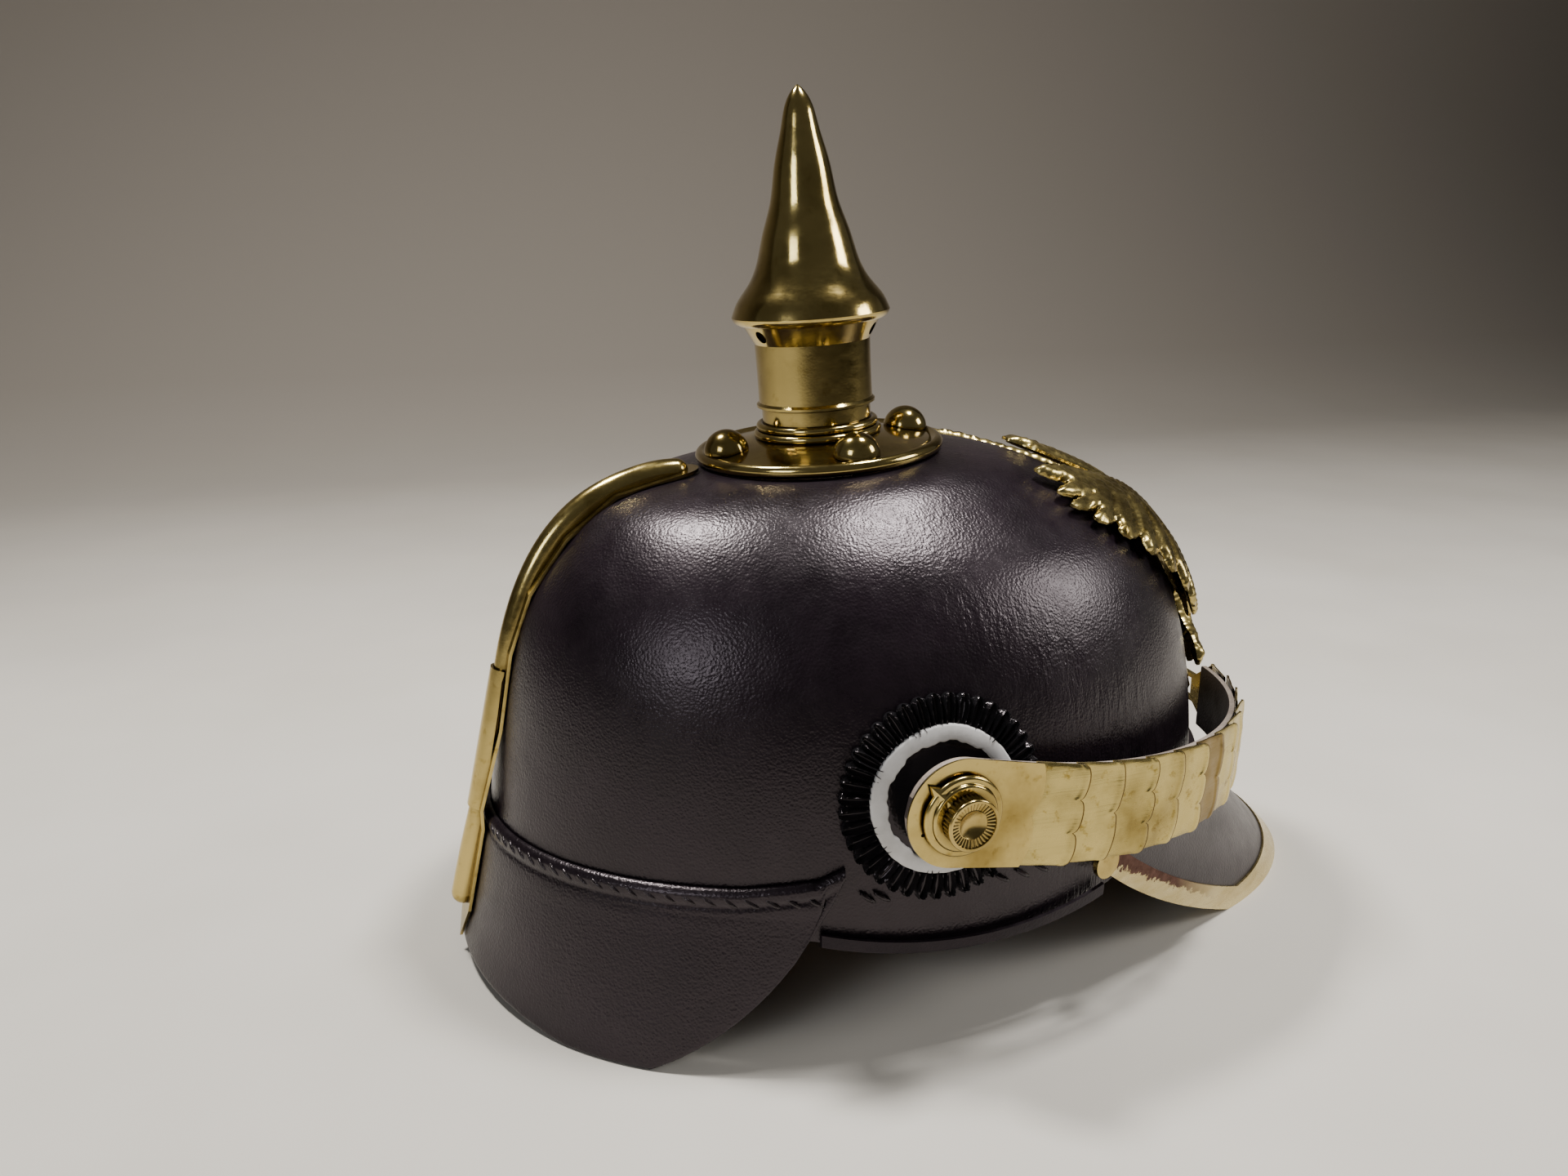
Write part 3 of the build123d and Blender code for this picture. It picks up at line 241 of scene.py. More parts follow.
def ring_knots():
    r = skull_rings(0, np.linspace(0, TAU, 64, endpoint=False))
    steps = np.linalg.norm(np.diff(r, axis=0), axis=2).mean(1)
    return np.concatenate([[0], np.cumsum(steps)])


KNOTS = ring_knots()


def rim_z(x):
    """Height of the skull's lower edge."""
    half, sag, mid, low = 73.0, 13.7, 13.0, 28.3
    radius = (half**2 + sag**2) / (2 * sag)
    inside = np.clip(radius**2 - (x - mid) ** 2, 0, None)
    z = low + radius - np.sqrt(inside)
    return np.where((x > mid - half) & (x < mid + half), np.minimum(z, SEAM_Z), SEAM_Z)


def skull_columns(grow, turns, rows):
    """Grid on the skull from the lower edge up, one column for each angle."""
    ts = np.linspace(0, KNOTS[-1], 400)
    fine = cubic(KNOTS, skull_rings(grow, turns), ts)
    out = np.zeros((rows, len(turns), 3))
    for c in range(len(turns)):
        col = fine[:, c]
        start = int(np.argmax(col[:, 2] >= rim_z(col[:, 0])))
        share = np.linspace(0, 1, rows) ** 0.97
        at = ts[start] + (ts[-1] - ts[start]) * share
        for k in range(3):
            out[:, c, k] = np.interp(at, ts, col[:, k])
    return out


TS = np.linspace(0, KNOTS[-1], 800)
FINE = cubic(KNOTS, np.stack([REARS, FRONTS, HALVES, HEIGHTS], -1), TS)


def skull_at(x, z, grow=0.0, side=-1):
    """Points on the skull's side, moved outwards by grow."""
    rear, front, half = [np.interp(z, FINE[:, 3], FINE[:, k]) for k in range(3)]
    slope = np.interp(z + 1, FINE[:, 3], FINE[:, 2]) - np.interp(z - 1, FINE[:, 3], FINE[:, 2])
    reach = (rear + front) / 2
    u = np.clip((x - (front - rear) / 2) / reach, -0.999, 0.999)
    w = np.sqrt(1 - u * u)
    n = np.stack([u / reach, w / half, -slope / 2 / half], -1)
    n /= np.linalg.norm(n, axis=-1)[..., None]
    p = np.stack([x, half * w, z], -1) + n * np.asarray(grow)[..., None]
    return p * (1, side, 1)


# Materials
def new_mat(name):
    mat = bpy.data.materials.new(name)
    mat.use_nodes = True
    tree = mat.node_tree
    bsdf = tree.nodes["Principled BSDF"]
    coord = tree.nodes.new("ShaderNodeTexCoord")
    return mat, tree, bsdf, coord.outputs["Object"]


def mapped(tree, vec, scale=(1, 1, 1), rot=(0, 0, 0)):
    m = tree.nodes.new("ShaderNodeMapping")
    m.inputs["Scale"].default_value = scale
    m.inputs["Rotation"].default_value = rot
    tree.links.new(vec, m.inputs["Vector"])
    return m.outputs["Vector"]


def noise(tree, vec, scale, detail=4.0, rough=0.55):
    n = tree.nodes.new("ShaderNodeTexNoise")
    n.inputs["Scale"].default_value = scale
    n.inputs["Detail"].default_value = detail
    n.inputs["Roughness"].default_value = rough
    tree.links.new(vec, n.inputs["Vector"])
    return n.outputs["Fac"]


def cells(tree, vec, scale, feature="SMOOTH_F1"):
    n = tree.nodes.new("ShaderNodeTexVoronoi")
    n.feature = feature
    n.inputs["Scale"].default_value = scale
    tree.links.new(vec, n.inputs["Vector"])
    return n.outputs["Distance"]


def axes_of(tree, vec):
    s = tree.nodes.new("ShaderNodeSeparateXYZ")
    tree.links.new(vec, s.inputs["Vector"])
    return s.outputs


def ramp(tree, fac, stops):
    r = tree.nodes.new("ShaderNodeValToRGB")
    el = r.color_ramp.elements
    while len(el) > len(stops):
        el.remove(el[-1])
    while len(el) < len(stops):
        el.new(0.5)
    for e, (pos, col) in zip(el, stops):
        e.position = pos
        e.color = (*col, 1) if len(col) == 3 else col
    tree.links.new(fac, r.inputs["Fac"])
    return r.outputs["Color"]


def span(tree, fac, low, high, a=0.0, b=1.0):
    m = tree.nodes.new("ShaderNodeMapRange")
    for key, value in (("From Min", a), ("From Max", b), ("To Min", low), ("To Max", high)):
        m.inputs[key].default_value = value
    tree.links.new(fac, m.inputs["Value"])
    return m.outputs["Result"]


def mix(tree, fac, one, two, kind="MIX"):
    m = tree.nodes.new("ShaderNodeMix")
    m.data_type = "RGBA"
    m.blend_type = kind
    for sock, value in ((m.inputs["Factor"], fac), (m.inputs[6], one), (m.inputs[7], two)):
        if hasattr(value, "is_linked"):
            tree.links.new(value, sock)
        elif isinstance(value, (int, float)):
            sock.default_value = value
        else:
            sock.default_value = (*value, 1)
    return m.outputs[2]


def maths(tree, op, a, b):
    m = tree.nodes.new("ShaderNodeMath")
    m.operation = op
    for sock, value in zip(m.inputs, (a, b)):
        if hasattr(value, "is_linked"):
            tree.links.new(value, sock)
        else:
            sock.default_value = value
    return m.outputs[0]


def bump(tree, bsdf, height, distance, strength=1.0, after=None):
    b = tree.nodes.new("ShaderNodeBump")
    b.inputs["Strength"].default_value = strength
    b.inputs["Distance"].default_value = distance
    tree.links.new(height, b.inputs["Height"])
    if after is not None:
        tree.links.new(after, b.inputs["Normal"])
    tree.links.new(b.outputs["Normal"], bsdf.inputs["Normal"])
    return b.outputs["Normal"]


def crevice(tree, distance):
    """1 in the open and less in corners and grooves."""
    ao = tree.nodes.new("ShaderNodeAmbientOcclusion")
    ao.samples = 6
    ao.inputs["Distance"].default_value = distance
    return ao.outputs["AO"]


def brass(name, light=(0.54, 0.42, 0.15), dark=(0.27, 0.19, 0.052), rough=(0.13, 0.27), wave=0.0004,
          brushed=None, ao=0.004, patina=0.35):
    """Polished or brushed brass with tarnish in patches, and a painted shade in corners and grooves that
    also stands for patina there.
    """
    mat, tree, bsdf, vec = new_mat(name)
    bsdf.inputs["Metallic"].default_value = 1.0
    tone = noise(tree, vec, 38, 5)
    base = ramp(tree, tone, [(0.30, dark), (0.52, light), (0.75, tuple(c * 1.08 for c in light))])
    spots = noise(tree, vec, 210, 6, 0.72)
    stain = ramp(tree, spots, [(0.56, (1, 1, 1)), (0.70, (1 - patina, 1 - 1.15 * patina, 1 - 1.6 * patina))])
    base = mix(tree, 1.0, base, stain, "MULTIPLY")
    # painted shade: the base colour darkens to near black in corners and grooves, partly shade and partly
    # patina
    corner_shade_and_patina = ramp(tree, crevice(tree, ao), [(0.35, (0.10, 0.06, 0.025)), (0.8, (1, 1, 1))])
    tree.links.new(mix(tree, 1.0, base, corner_shade_and_patina, "MULTIPLY"), bsdf.inputs["Base Color"])
    smear = noise(tree, mapped(tree, vec, (1, 1, 2.2)), 120, 6, 0.7)
    tree.links.new(span(tree, smear, rough[0], rough[1], 0.3, 0.72), bsdf.inputs["Roughness"])
    normal = bump(tree, bsdf, noise(tree, vec, 45, 1), wave)
    if brushed:
        bump(tree, bsdf, noise(tree, mapped(tree, vec, brushed), 1.0, 3, 0.6), 0.00006, after=normal)
    else:
        bump(tree, bsdf, noise(tree, vec, 1500, 3), 0.000012, after=normal)
    return mat


def leather(name, low=(0.0034, 0.0020, 0.0034), high=(0.0100, 0.0062, 0.0096), rough=(0.25, 0.37),
            grain=0.00006, creases=0.0, sheen=0.42):
    """Blackened leather: fine pebbles, wide soft waves and, where asked, upright creases."""
    mat, tree, bsdf, vec = new_mat(name)
    tone = noise(tree, vec, 34, 6, 0.62)
    base = ramp(tree, tone, [(0.35, low), (0.68, high)])
    pits = cells(tree, vec, 1500)
    speck = ramp(tree, pits, [(0.05, (0.7, 0.7, 0.7)), (0.4, (1.12, 1.1, 1.1))])
    tree.links.new(mix(tree, 1.0, base, speck, "MULTIPLY"), bsdf.inputs["Base Color"])
    worn = noise(tree, vec, 120, 6, 0.68)
    tree.links.new(span(tree, worn, rough[0], rough[1], 0.3, 0.7), bsdf.inputs["Roughness"])
    bsdf.inputs["Specular IOR Level"].default_value = sheen
    bsdf.inputs["Specular Tint"].default_value = (1.0, 0.87, 0.94, 1)
    wide = bump(tree, bsdf, noise(tree, vec, 26, 3, 0.5), 0.0006, 0.5)
    if creases:
        split = axes_of(tree, vec)
        bent = mapped(tree, vec, (210, 210, 17))
        lines = noise(tree, bent, 1.0, 4, 0.7)
        fold = span(tree, lines, 0.0, 1.0, 0.42, 0.58)
        place = span(tree, noise(tree, vec, 15, 2), 0.0, 1.0, 0.50, 0.62)
        front = span(tree, split["X"], 0.06, 1.0, -0.045, 0.03)
        fold = maths(tree, "MULTIPLY", maths(tree, "MULTIPLY", fold, place), front)
        wide = bump(tree, bsdf, fold, creases, 1.0, wide)
    soft = bump(tree, bsdf, noise(tree, vec, 900, 4, 0.6), grain, 1.0, wide)
    bump(tree, bsdf, pits, grain * 1.6, 1.0, soft)
    return mat


BRUSH = (20, 20, 1600)
M = {
    "brass": brass("polished_brass"),
    "brass_spun": brass("spun_brass", rough=(0.08, 0.19), wave=0.0003, patina=0.25),
    "brass_scale": brass("brushed_brass", light=(0.56, 0.45, 0.165), dark=(0.26, 0.19, 0.055),
                         rough=(0.2, 0.35), wave=0.0006, brushed=BRUSH, ao=0.0016, patina=0.5),
    # darker brass for two scales: some tarnish, and painted shade for scales that reflect darker
    "brass_dark": brass("tarnished_and_shaded_brass", light=(0.24, 0.165, 0.05), dark=(0.12, 0.075, 0.02),
                        rough=(0.25, 0.42), wave=0.0006, brushed=BRUSH, patina=0.4),
    "brass_plate": brass("pressed_brass", light=(0.50, 0.40, 0.15), rough=(0.2, 0.34), wave=0.0003, ao=0.003,
                         patina=0.5),
    "brass_knob": brass("knob_brass", light=(0.50, 0.38, 0.14), rough=(0.16, 0.28), ao=0.0022, patina=0.5),
    # painted shadow: near-black brass for the scales' lobed free edges, standing for the shadow line under
    # each edge
    "brass_shadow_edge": brass("painted_shadow_edge", light=(0.16, 0.10, 0.03), dark=(0.07, 0.04, 0.012),
                        rough=(0.4, 0.55)),
    "leather": leather("black_leather_body", creases=0.00022),
    "leather_edge": leather("black_leather_edge", rough=(0.42, 0.55), grain=0.00005, sheen=0.28),
    "leather_visor": leather("black_leather_visor", low=(0.009, 0.0065, 0.0085), high=(0.022, 0.018, 0.021),
                             rough=(0.27, 0.38), grain=0.00004),
    "thread": leather("waxed_thread_dark", low=(0.004, 0.003, 0.0035), high=(0.012, 0.009, 0.010),
                      grain=0.00008),
    "liner": leather("liner_brown", low=(0.16, 0.09, 0.045), high=(0.33, 0.2, 0.11), rough=(0.6, 0.8)),
    "strap": leather("strap_dark", low=(0.012, 0.009, 0.008), high=(0.035, 0.027, 0.024), rough=(0.6, 0.75)),
    "strap_edge": leather("strap_cut_edge", low=(0.13, 0.105, 0.085), high=(0.30, 0.26, 0.22),
                          rough=(0.7, 0.85)),
    "cockade": leather("cockade_lacquer", low=(0.004, 0.004, 0.0045), high=(0.011, 0.0105, 0.012),
                       rough=(0.12, 0.24), grain=0.00002),
    "steel": brass("inner_steel", light=(0.5, 0.48, 0.45), dark=(0.3, 0.28, 0.26), rough=(0.35, 0.5)),
}


def trim_brass():
    """Pale brushed brass with an uneven reddish-brown band along the trim's inner edge on top."""
    mat, tree, bsdf, vec = new_mat("pale_brass")
    bsdf.inputs["Metallic"].default_value = 1.0
    tone = noise(tree, mapped(tree, vec, (1, 1, 3)), 60, 5)
    base = ramp(tree, tone, [(0.3, (0.56, 0.43, 0.17)), (0.6, (0.76, 0.64, 0.34))])
    split = axes_of(tree, vec)
    x, z = split["X"], split["Z"]
    # height above the sloping inner edge, which runs down towards the front
    line = maths(tree, "ADD", z, maths(tree, "MULTIPLY", maths(tree, "SUBTRACT", x, 0.0202), 0.60))
    ragged = maths(tree, "MULTIPLY", maths(tree, "SUBTRACT", noise(tree, vec, 330, 6, 0.7), 0.5), 0.011)
    high = span(tree, maths(tree, "ADD", line, ragged), 0.0, 1.0, 0.0440, 0.0446)
    near = span(tree, x, 1.0, 0.0, 0.058, 0.082)
    fac = maths(tree, "MULTIPLY", high, near)
    brown = ramp(tree, noise(tree, vec, 400, 4), [(0.3, (0.09, 0.04, 0.028)), (0.7, (0.19, 0.10, 0.075))])
    tree.links.new(mix(tree, fac, base, brown), bsdf.inputs["Base Color"])
    smear = span(tree, noise(tree, mapped(tree, vec, (1, 1, 2.2)), 120, 6, 0.7), 0.2, 0.34, 0.3, 0.72)
    rough = maths(tree, "ADD", smear, maths(tree, "MULTIPLY", fac, 0.38))
    tree.links.new(rough, bsdf.inputs["Roughness"])
    normal = bump(tree, bsdf, noise(tree, vec, 60, 2), 0.0003)
    grit = maths(tree, "MULTIPLY", noise(tree, vec, 1100, 3), fac)
    bump(tree, bsdf, grit, 0.00012, 1.0, normal)
    return mat


M["trim"] = trim_brass()


def ring_white():
    mat, tree, bsdf, vec = new_mat("cockade_white_paint")
    base = ramp(tree, noise(tree, vec, 160, 5), [(0.3, (0.55, 0.54, 0.53)), (0.6, (0.70, 0.69, 0.69))])
    tree.links.new(base, bsdf.inputs["Base Color"])
    tree.links.new(span(tree, noise(tree, vec, 300, 3), 0.55, 0.75), bsdf.inputs["Roughness"])
    bump(tree, bsdf, noise(tree, vec, 900, 3), 0.00003)
    return mat


M["white"] = ring_white()

NODE_MATS = {
    "front_visor_trim": "trim", "spike_base": "brass_spun", "spike_base_studs": "brass_spun",
    "spike_base_washers": "steel", "inner_nuts": "steel", "spike_point": "brass_spun",
    "spike_vent_band": "brass_spun", "spike_neck": "brass_spun", "front_plate": "brass_plate",
    "skull": "leather", "neck_guard": "leather", "front_visor": "leather_visor",
    "side_bindings": "leather_edge", "sweatband": "liner", "liner_tongues": "liner",
}
KIND_MATS = (
    ("stitching", "thread"), ("strap_leather", "strap"), ("cockade_ring", "white"), ("cockade", "cockade"),
    ("scale", "brass_scale"), ("strap_loop", "brass_scale"), ("strap_hook", "brass_scale"),
)
for name, obj in nodes.items():
    kinds = [mat for word, mat in KIND_MATS if word in name]
    key = NODE_MATS.get(name) or (kinds + ["brass"])[0]
    obj.data.materials.clear()
    obj.data.materials.append(M[key])
    sharp(obj, 32)

# Skull
SKULL_ROWS = 150
TURNS = np.arange(288) * TAU / 288
outer = skull_columns(0.0, TURNS, SKULL_ROWS)
inner = skull_columns(-LEATHER, TURNS, SKULL_ROWS)
verts, faces = shell(outer, inner, wrap=True)
skull = face_out(link("skull_leather", verts, faces, "helmet", M["leather"]))
sharp(skull, 50)
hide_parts("skull")


# Neck guard and visor
def lap_size(z):
    """Half length and half width of the seam's form at a height above it."""
    t = (z - SEAM_Z) / (LAP_Z - SEAM_Z)
    return SEAM_A + (LAP_A - SEAM_A) * t, SEAM_B + (LAP_B - SEAM_B) * t


def skirt(theta, z, foot, reach, half, grow):
    """Point of a skirt form; foot, reach and half belong to its ellipse on the table."""
    if z >= SEAM_Z:
        c, (a, b) = SEAM_X, lap_size(z)
    else:
        t = z / SEAM_Z
        c, a, b = foot + (SEAM_X - foot) * t, reach + (SEAM_A - reach) * t, half + (SEAM_B - half) * t
    return np.array([c + (a + grow) * math.cos(theta), (b + grow) * math.sin(theta), z])


def circle_through(p, q, r):
    (ax, ay), (bx, by), (cx, cy) = p, q, r
    d = 2 * (ax * (by - cy) + bx * (cy - ay) + cx * (ay - by))
    ux = ((ax**2 + ay**2) * (by - cy) + (bx**2 + by**2) * (cy - ay) + (cx**2 + cy**2) * (ay - by)) / d
    uy = ((ax**2 + ay**2) * (cx - bx) + (bx**2 + by**2) * (ax - cx) + (cx**2 + cy**2) * (bx - ax)) / d
    return ux, uy, math.hypot(ax - ux, ay - uy)


# foot, reach and half of the neck guard, and the arc of its front edge
GUARD = (-22.0, 92.1, 88.6)
GUARD_ARC = circle_through((-25.0, 56.0), (-42.0, 27.0), (-76.0, 0.0))


def arc_x(z, c, other):
    """x of an arc at a height, on the side where the arc's ends lie."""
    cx, cz, r = c
    w = math.sqrt(max(r * r - (z - cz) ** 2, 0))
    return cx + w if abs(cx + w - other(z)) < abs(cx - w - other(z)) else cx - w


def guard_low(x, z):
    """Whether a point lies past the guard's front arc or lower edge."""
    if x > -76.0:
        return x > arc_x(z, GUARD_ARC, lambda h: -76 + 51 * h / 56)
    return z < (0 if x > -95 else 4.5 * min((-95 - x) / 23.0, 1.0))


def guard_top(x):
    return float(np.interp(x, [-118, -52, -33, -25], [46.5, 49.4, 52.0, 56.0]))


def skirt_grid(form, thetas, rows, top, low, outer_grow, inner_grow, profile):
    """Outer and inner grid of a skirt cut to its outline, its thickness shaped from the top edge down."""
    outer, inner = np.zeros((rows, len(thetas), 3)), np.zeros((rows, len(thetas), 3))
    for c, th in enumerate(thetas):
        z_top = 50.0
        for _ in range(12):
            z_top = top(skirt(th, z_top, *form, 2.0)[0])
        z = z_top
        while z > 0 and not low(skirt(th, z, *form, 2.0)[0], z):
            z -= 0.1
        z_low = max(z, 0.0)
        for r in range(rows):
            s = r / (rows - 1)
            h = z_top + (z_low - z_top) * s
            down = z_top - h
            up = h - z_low
            outer[r, c] = skirt(th, h, *form, outer_grow * profile(down, up))
            inner[r, c] = skirt(th, h, *form, inner_grow)
    return outer, inner


def guard_profile(down, up):
    """Share of the full thickness: pared at the top edge, sunk under the stitches, rounded at the bottom."""
    edge = 0.32 + 0.60 * min(max(down / 1.5, 0), 1) ** 0.7 + 0.08 * min(max(down / 8, 0), 1)
    groove = 0.16 * math.exp(-((down - 4.6) / 0.8) ** 2)
    swell = 0.03 * math.exp(-((down - 8.5) / 2.5) ** 2)
    round_off = 1 - 0.35 * math.exp(-up / 0.35)
    return (edge - groove + swell) * round_off


def spaced(first, last, count):
    return np.linspace(math.radians(first), math.radians(last), count)


g_thetas = spaced(109.2, 250.8, 241)
outer, inner = skirt_grid(GUARD, g_thetas, 90, guard_top, guard_low, LEATHER, 0.15, guard_profile)
verts, faces = shell(outer, inner)
guard = face_out(link("neck_guard_leather", verts, faces, "helmet", M["leather"]))
sharp(guard, 60)
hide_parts("neck_guard")


# Stitching
# spacing, mean slant in degrees, half length and radius of the stitches
STITCH_STEP, STITCH_SLANT, STITCH_HALF, STITCH_RADIUS = 5.2, 32, 2.5, 0.6


def stitch_row(name, spans, replaced, grow=LEATHER * 0.74):
    """Slanted stitches whose ends dip into the leather, each lying in the seam's groove."""
    parts = []
    for side, x0, x1, z0, z1 in spans:
        t0 = math.acos((x0 - SEAM_X) / SEAM_A)
        t1 = math.acos((x1 - SEAM_X) / SEAM_A)
        count = max(2, round(abs(t1 - t0) * math.sqrt(SEAM_A * SEAM_B) / STITCH_STEP))
        for i in range(count):
            share = (i + 0.5) / count
            th = t0 + (t1 - t0) * share
            x, z = SEAM_X + SEAM_A * math.cos(th), z0 + (z1 - z0) * share
            n = np.array([math.cos(th) / SEAM_A, side * math.sin(th) / SEAM_B, 0.0])
            n /= np.linalg.norm(n)
            a, b = lap_size(z)
            p = np.array([SEAM_X + (a + grow) * math.cos(th), side * (b + grow) * math.sin(th), z])
            along = np.array([-side * n[1], side * n[0], 0.0])
            slant = math.radians(STITCH_SLANT + rng.normal(0, 3))
            d = along * math.cos(slant) + np.array([0, 0, 1.0]) * math.sin(slant)
            size = STITCH_HALF * (1 + rng.normal(0, 0.04))
            path, rad = [], []
            for k in range(11):
                u = -1 + 0.2 * k
                path.append(p + d * size * u + n * (0.62 * math.cos(u * math.pi / 2) - 0.25))
                rad.append(STITCH_RADIUS * (1 - 0.35 * u**4))
            parts.append(tube(path, np.array(rad)))
    verts, faces = join_parts(parts)
    obj = link(name, verts, faces, "helmet", M["thread"])
    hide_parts(replaced)


# Camera, lights, floor
# turns in degrees, place in metres and focal length in pixels, as fitted to the photo
YAW, DIP, ROLL = 20.49, 16.65, 0.19
CAMERA_PLACE = (-0.16436, -0.33028, 0.21014)
FOCAL_PX, FRAME_PX, SENSOR = 1444.9, 1920, 36.0


def camera():
    data = bpy.data.cameras.new("camera")
    cam = placed("camera", data)
    yaw, pitch, roll = math.radians(YAW), math.radians(DIP), math.radians(ROLL)
    forward = Vector((math.sin(yaw) * math.cos(pitch), math.cos(yaw) * math.cos(pitch), -math.sin(pitch)))
    right0 = Vector((math.cos(yaw), -math.sin(yaw), 0))
    up0 = right0.cross(forward)
    right = right0 * math.cos(roll) + up0 * math.sin(roll)
    up = up0 * math.cos(roll) - right0 * math.sin(roll)
    cam.location = CAMERA_PLACE
    rot = Matrix((right, up, -forward)).transposed()
    cam.rotation_mode = "QUATERNION"
    cam.rotation_quaternion = rot.to_quaternion()
    data.sensor_width = SENSOR
    data.lens = SENSOR * FOCAL_PX / FRAME_PX
    data.clip_start = 0.01
    bpy.context.scene.camera = cam


def area(name, place, target, size, power, colour):
    data = bpy.data.lights.new(name, "AREA")
    data.energy = power
    data.color = colour
    data.shape = "RECTANGLE"
    data.size = data.size_y = size
    obj = placed(name, data)
    obj.location = place
    obj.rotation_mode = "QUATERNION"
    obj.rotation_quaternion = (Vector(target) - Vector(place)).to_track_quat("-Z", "Y")


def stage_floor():
    mat, tree, bsdf, vec = new_mat("pale_floor")
    split = axes_of(tree, vec)
    # painted shade: the floor and backdrop darken to taupe behind the helmet, and the floor darkens to near
    # black behind the camera, standing for the dim room
    far = span(tree, split["Y"], 0.0, 1.0, 0.15, 1.0)
    near = ramp(tree, noise(tree, vec, 6, 3), [(0.3, (0.50, 0.475, 0.43)), (0.7, (0.57, 0.545, 0.50))])
    behind = span(tree, split["Y"], 0.0, 1.0, -0.8, -0.42)
    room_shade = ramp(tree, behind, [(0, (0.12, 0.11, 0.10)), (1, (1, 1, 1))])
    near = mix(tree, 1.0, near, room_shade, "MULTIPLY")
    tree.links.new(mix(tree, far, near, (0.29, 0.26, 0.225)), bsdf.inputs["Base Color"])
    bsdf.inputs["Roughness"].default_value = 0.85
    pts = []
    profile = [(-2.5, 0.0), (0.75, 0.0)] + [
        (0.75 + 0.5 * math.sin(a), 0.5 - 0.5 * math.cos(a)) for a in np.linspace(0, math.pi / 2, 16)[1:]
    ] + [(1.25, 2.5)]
    for y, z in profile:
        pts += [(-3.0, y, z), (3.0, y, z)]
    faces = [(2 * i, 2 * i + 1, 2 * i + 3, 2 * i + 2) for i in range(len(profile) - 1)]
    mesh = bpy.data.meshes.new("floor")
    mesh.from_pydata(pts, [], faces)
    mesh.polygons.foreach_set("use_smooth", [True] * len(mesh.polygons))
    mesh.materials.append(mat)
    placed("floor", mesh)


def world():
    w = bpy.data.worlds.new("studio")
    w.use_nodes = True
    bpy.context.scene.world = w
    light = w.node_tree.nodes["Background"].inputs
    light["Color"].default_value = (0.62, 0.6, 0.57, 1)
    light["Strength"].default_value = 0.13


camera()
stage_floor()
world()
area("key", (-0.307, 0.221, 0.857), (-0.081, -0.038, 0.135), 0.13, 10, (1, 0.97, 0.92))
area("second", (0.218, -0.046, 0.898), (-0.033, -0.055, 0.138), 0.14, 9, (1, 0.97, 0.93))
area("right", (1.1, -0.5, 0.7), (0.05, 0, 0.05), 0.45, 9, (1, 0.97, 0.93))
area("left", (-1.1, -0.7, 0.6), (-0.03, 0, 0.1), 0.4, 3.5, (0.95, 0.97, 1))


# Stitching of the seam
g_spans, s_spans, v_spans = [], [], []
for side in (-1, 1):
    g_spans.append((side, SEAM_X - SEAM_A + 0.7, -30.0, 44.3, 46.5))
    s_spans += [(side, -22.0, -14.5, 46.5, 46.5), (side, 14.5, 46.0, 46.5, 46.5)]
    v_spans.append((side, 60.0, SEAM_X + SEAM_A - 0.1, 45.6, 45.6))
stitch_row("neck_guard_thread", g_spans, "neck_guard_stitching")
stitch_row("visor_thread", v_spans, "front_visor_stitching", grow=LEATHER * 0.95)
stitch_row("side_thread", s_spans, "side_stitching", grow=0.35)

# Vent slide
SLIDE_WAY = np.array([6.8, 0, 30.0]) / math.hypot(6.8, 30.0)
COVER_DROP = 12.5


def vent_cover():
    """The vent slide's cover, carried down to the spine's lower piece."""
    mesh = nodes["vent_slide"].data
    pts = np.array([tuple(v.co) for v in mesh.vertices]) / MM - (FOOT_X, 0, 0)
    run = pts @ SLIDE_WAY
    low = run < (run.min() + run.max()) / 2
    pts[low] -= SLIDE_WAY * COVER_DROP
    faces = [tuple(f.vertices) for f in mesh.polygons]
    obj = link("vent_cover", pts, faces, "vent_slide", M["brass"])
    sharp(obj, 32)
    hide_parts("vent_slide")


vent_cover()

# Cockades
POST_Z = 72.0


def on_side(rad, phi, rise, side):
    """Grid on the skull's side about the post, from radii and angles."""
    return skull_at(rad * np.cos(phi), POST_Z + rad * np.sin(phi), rise, side)


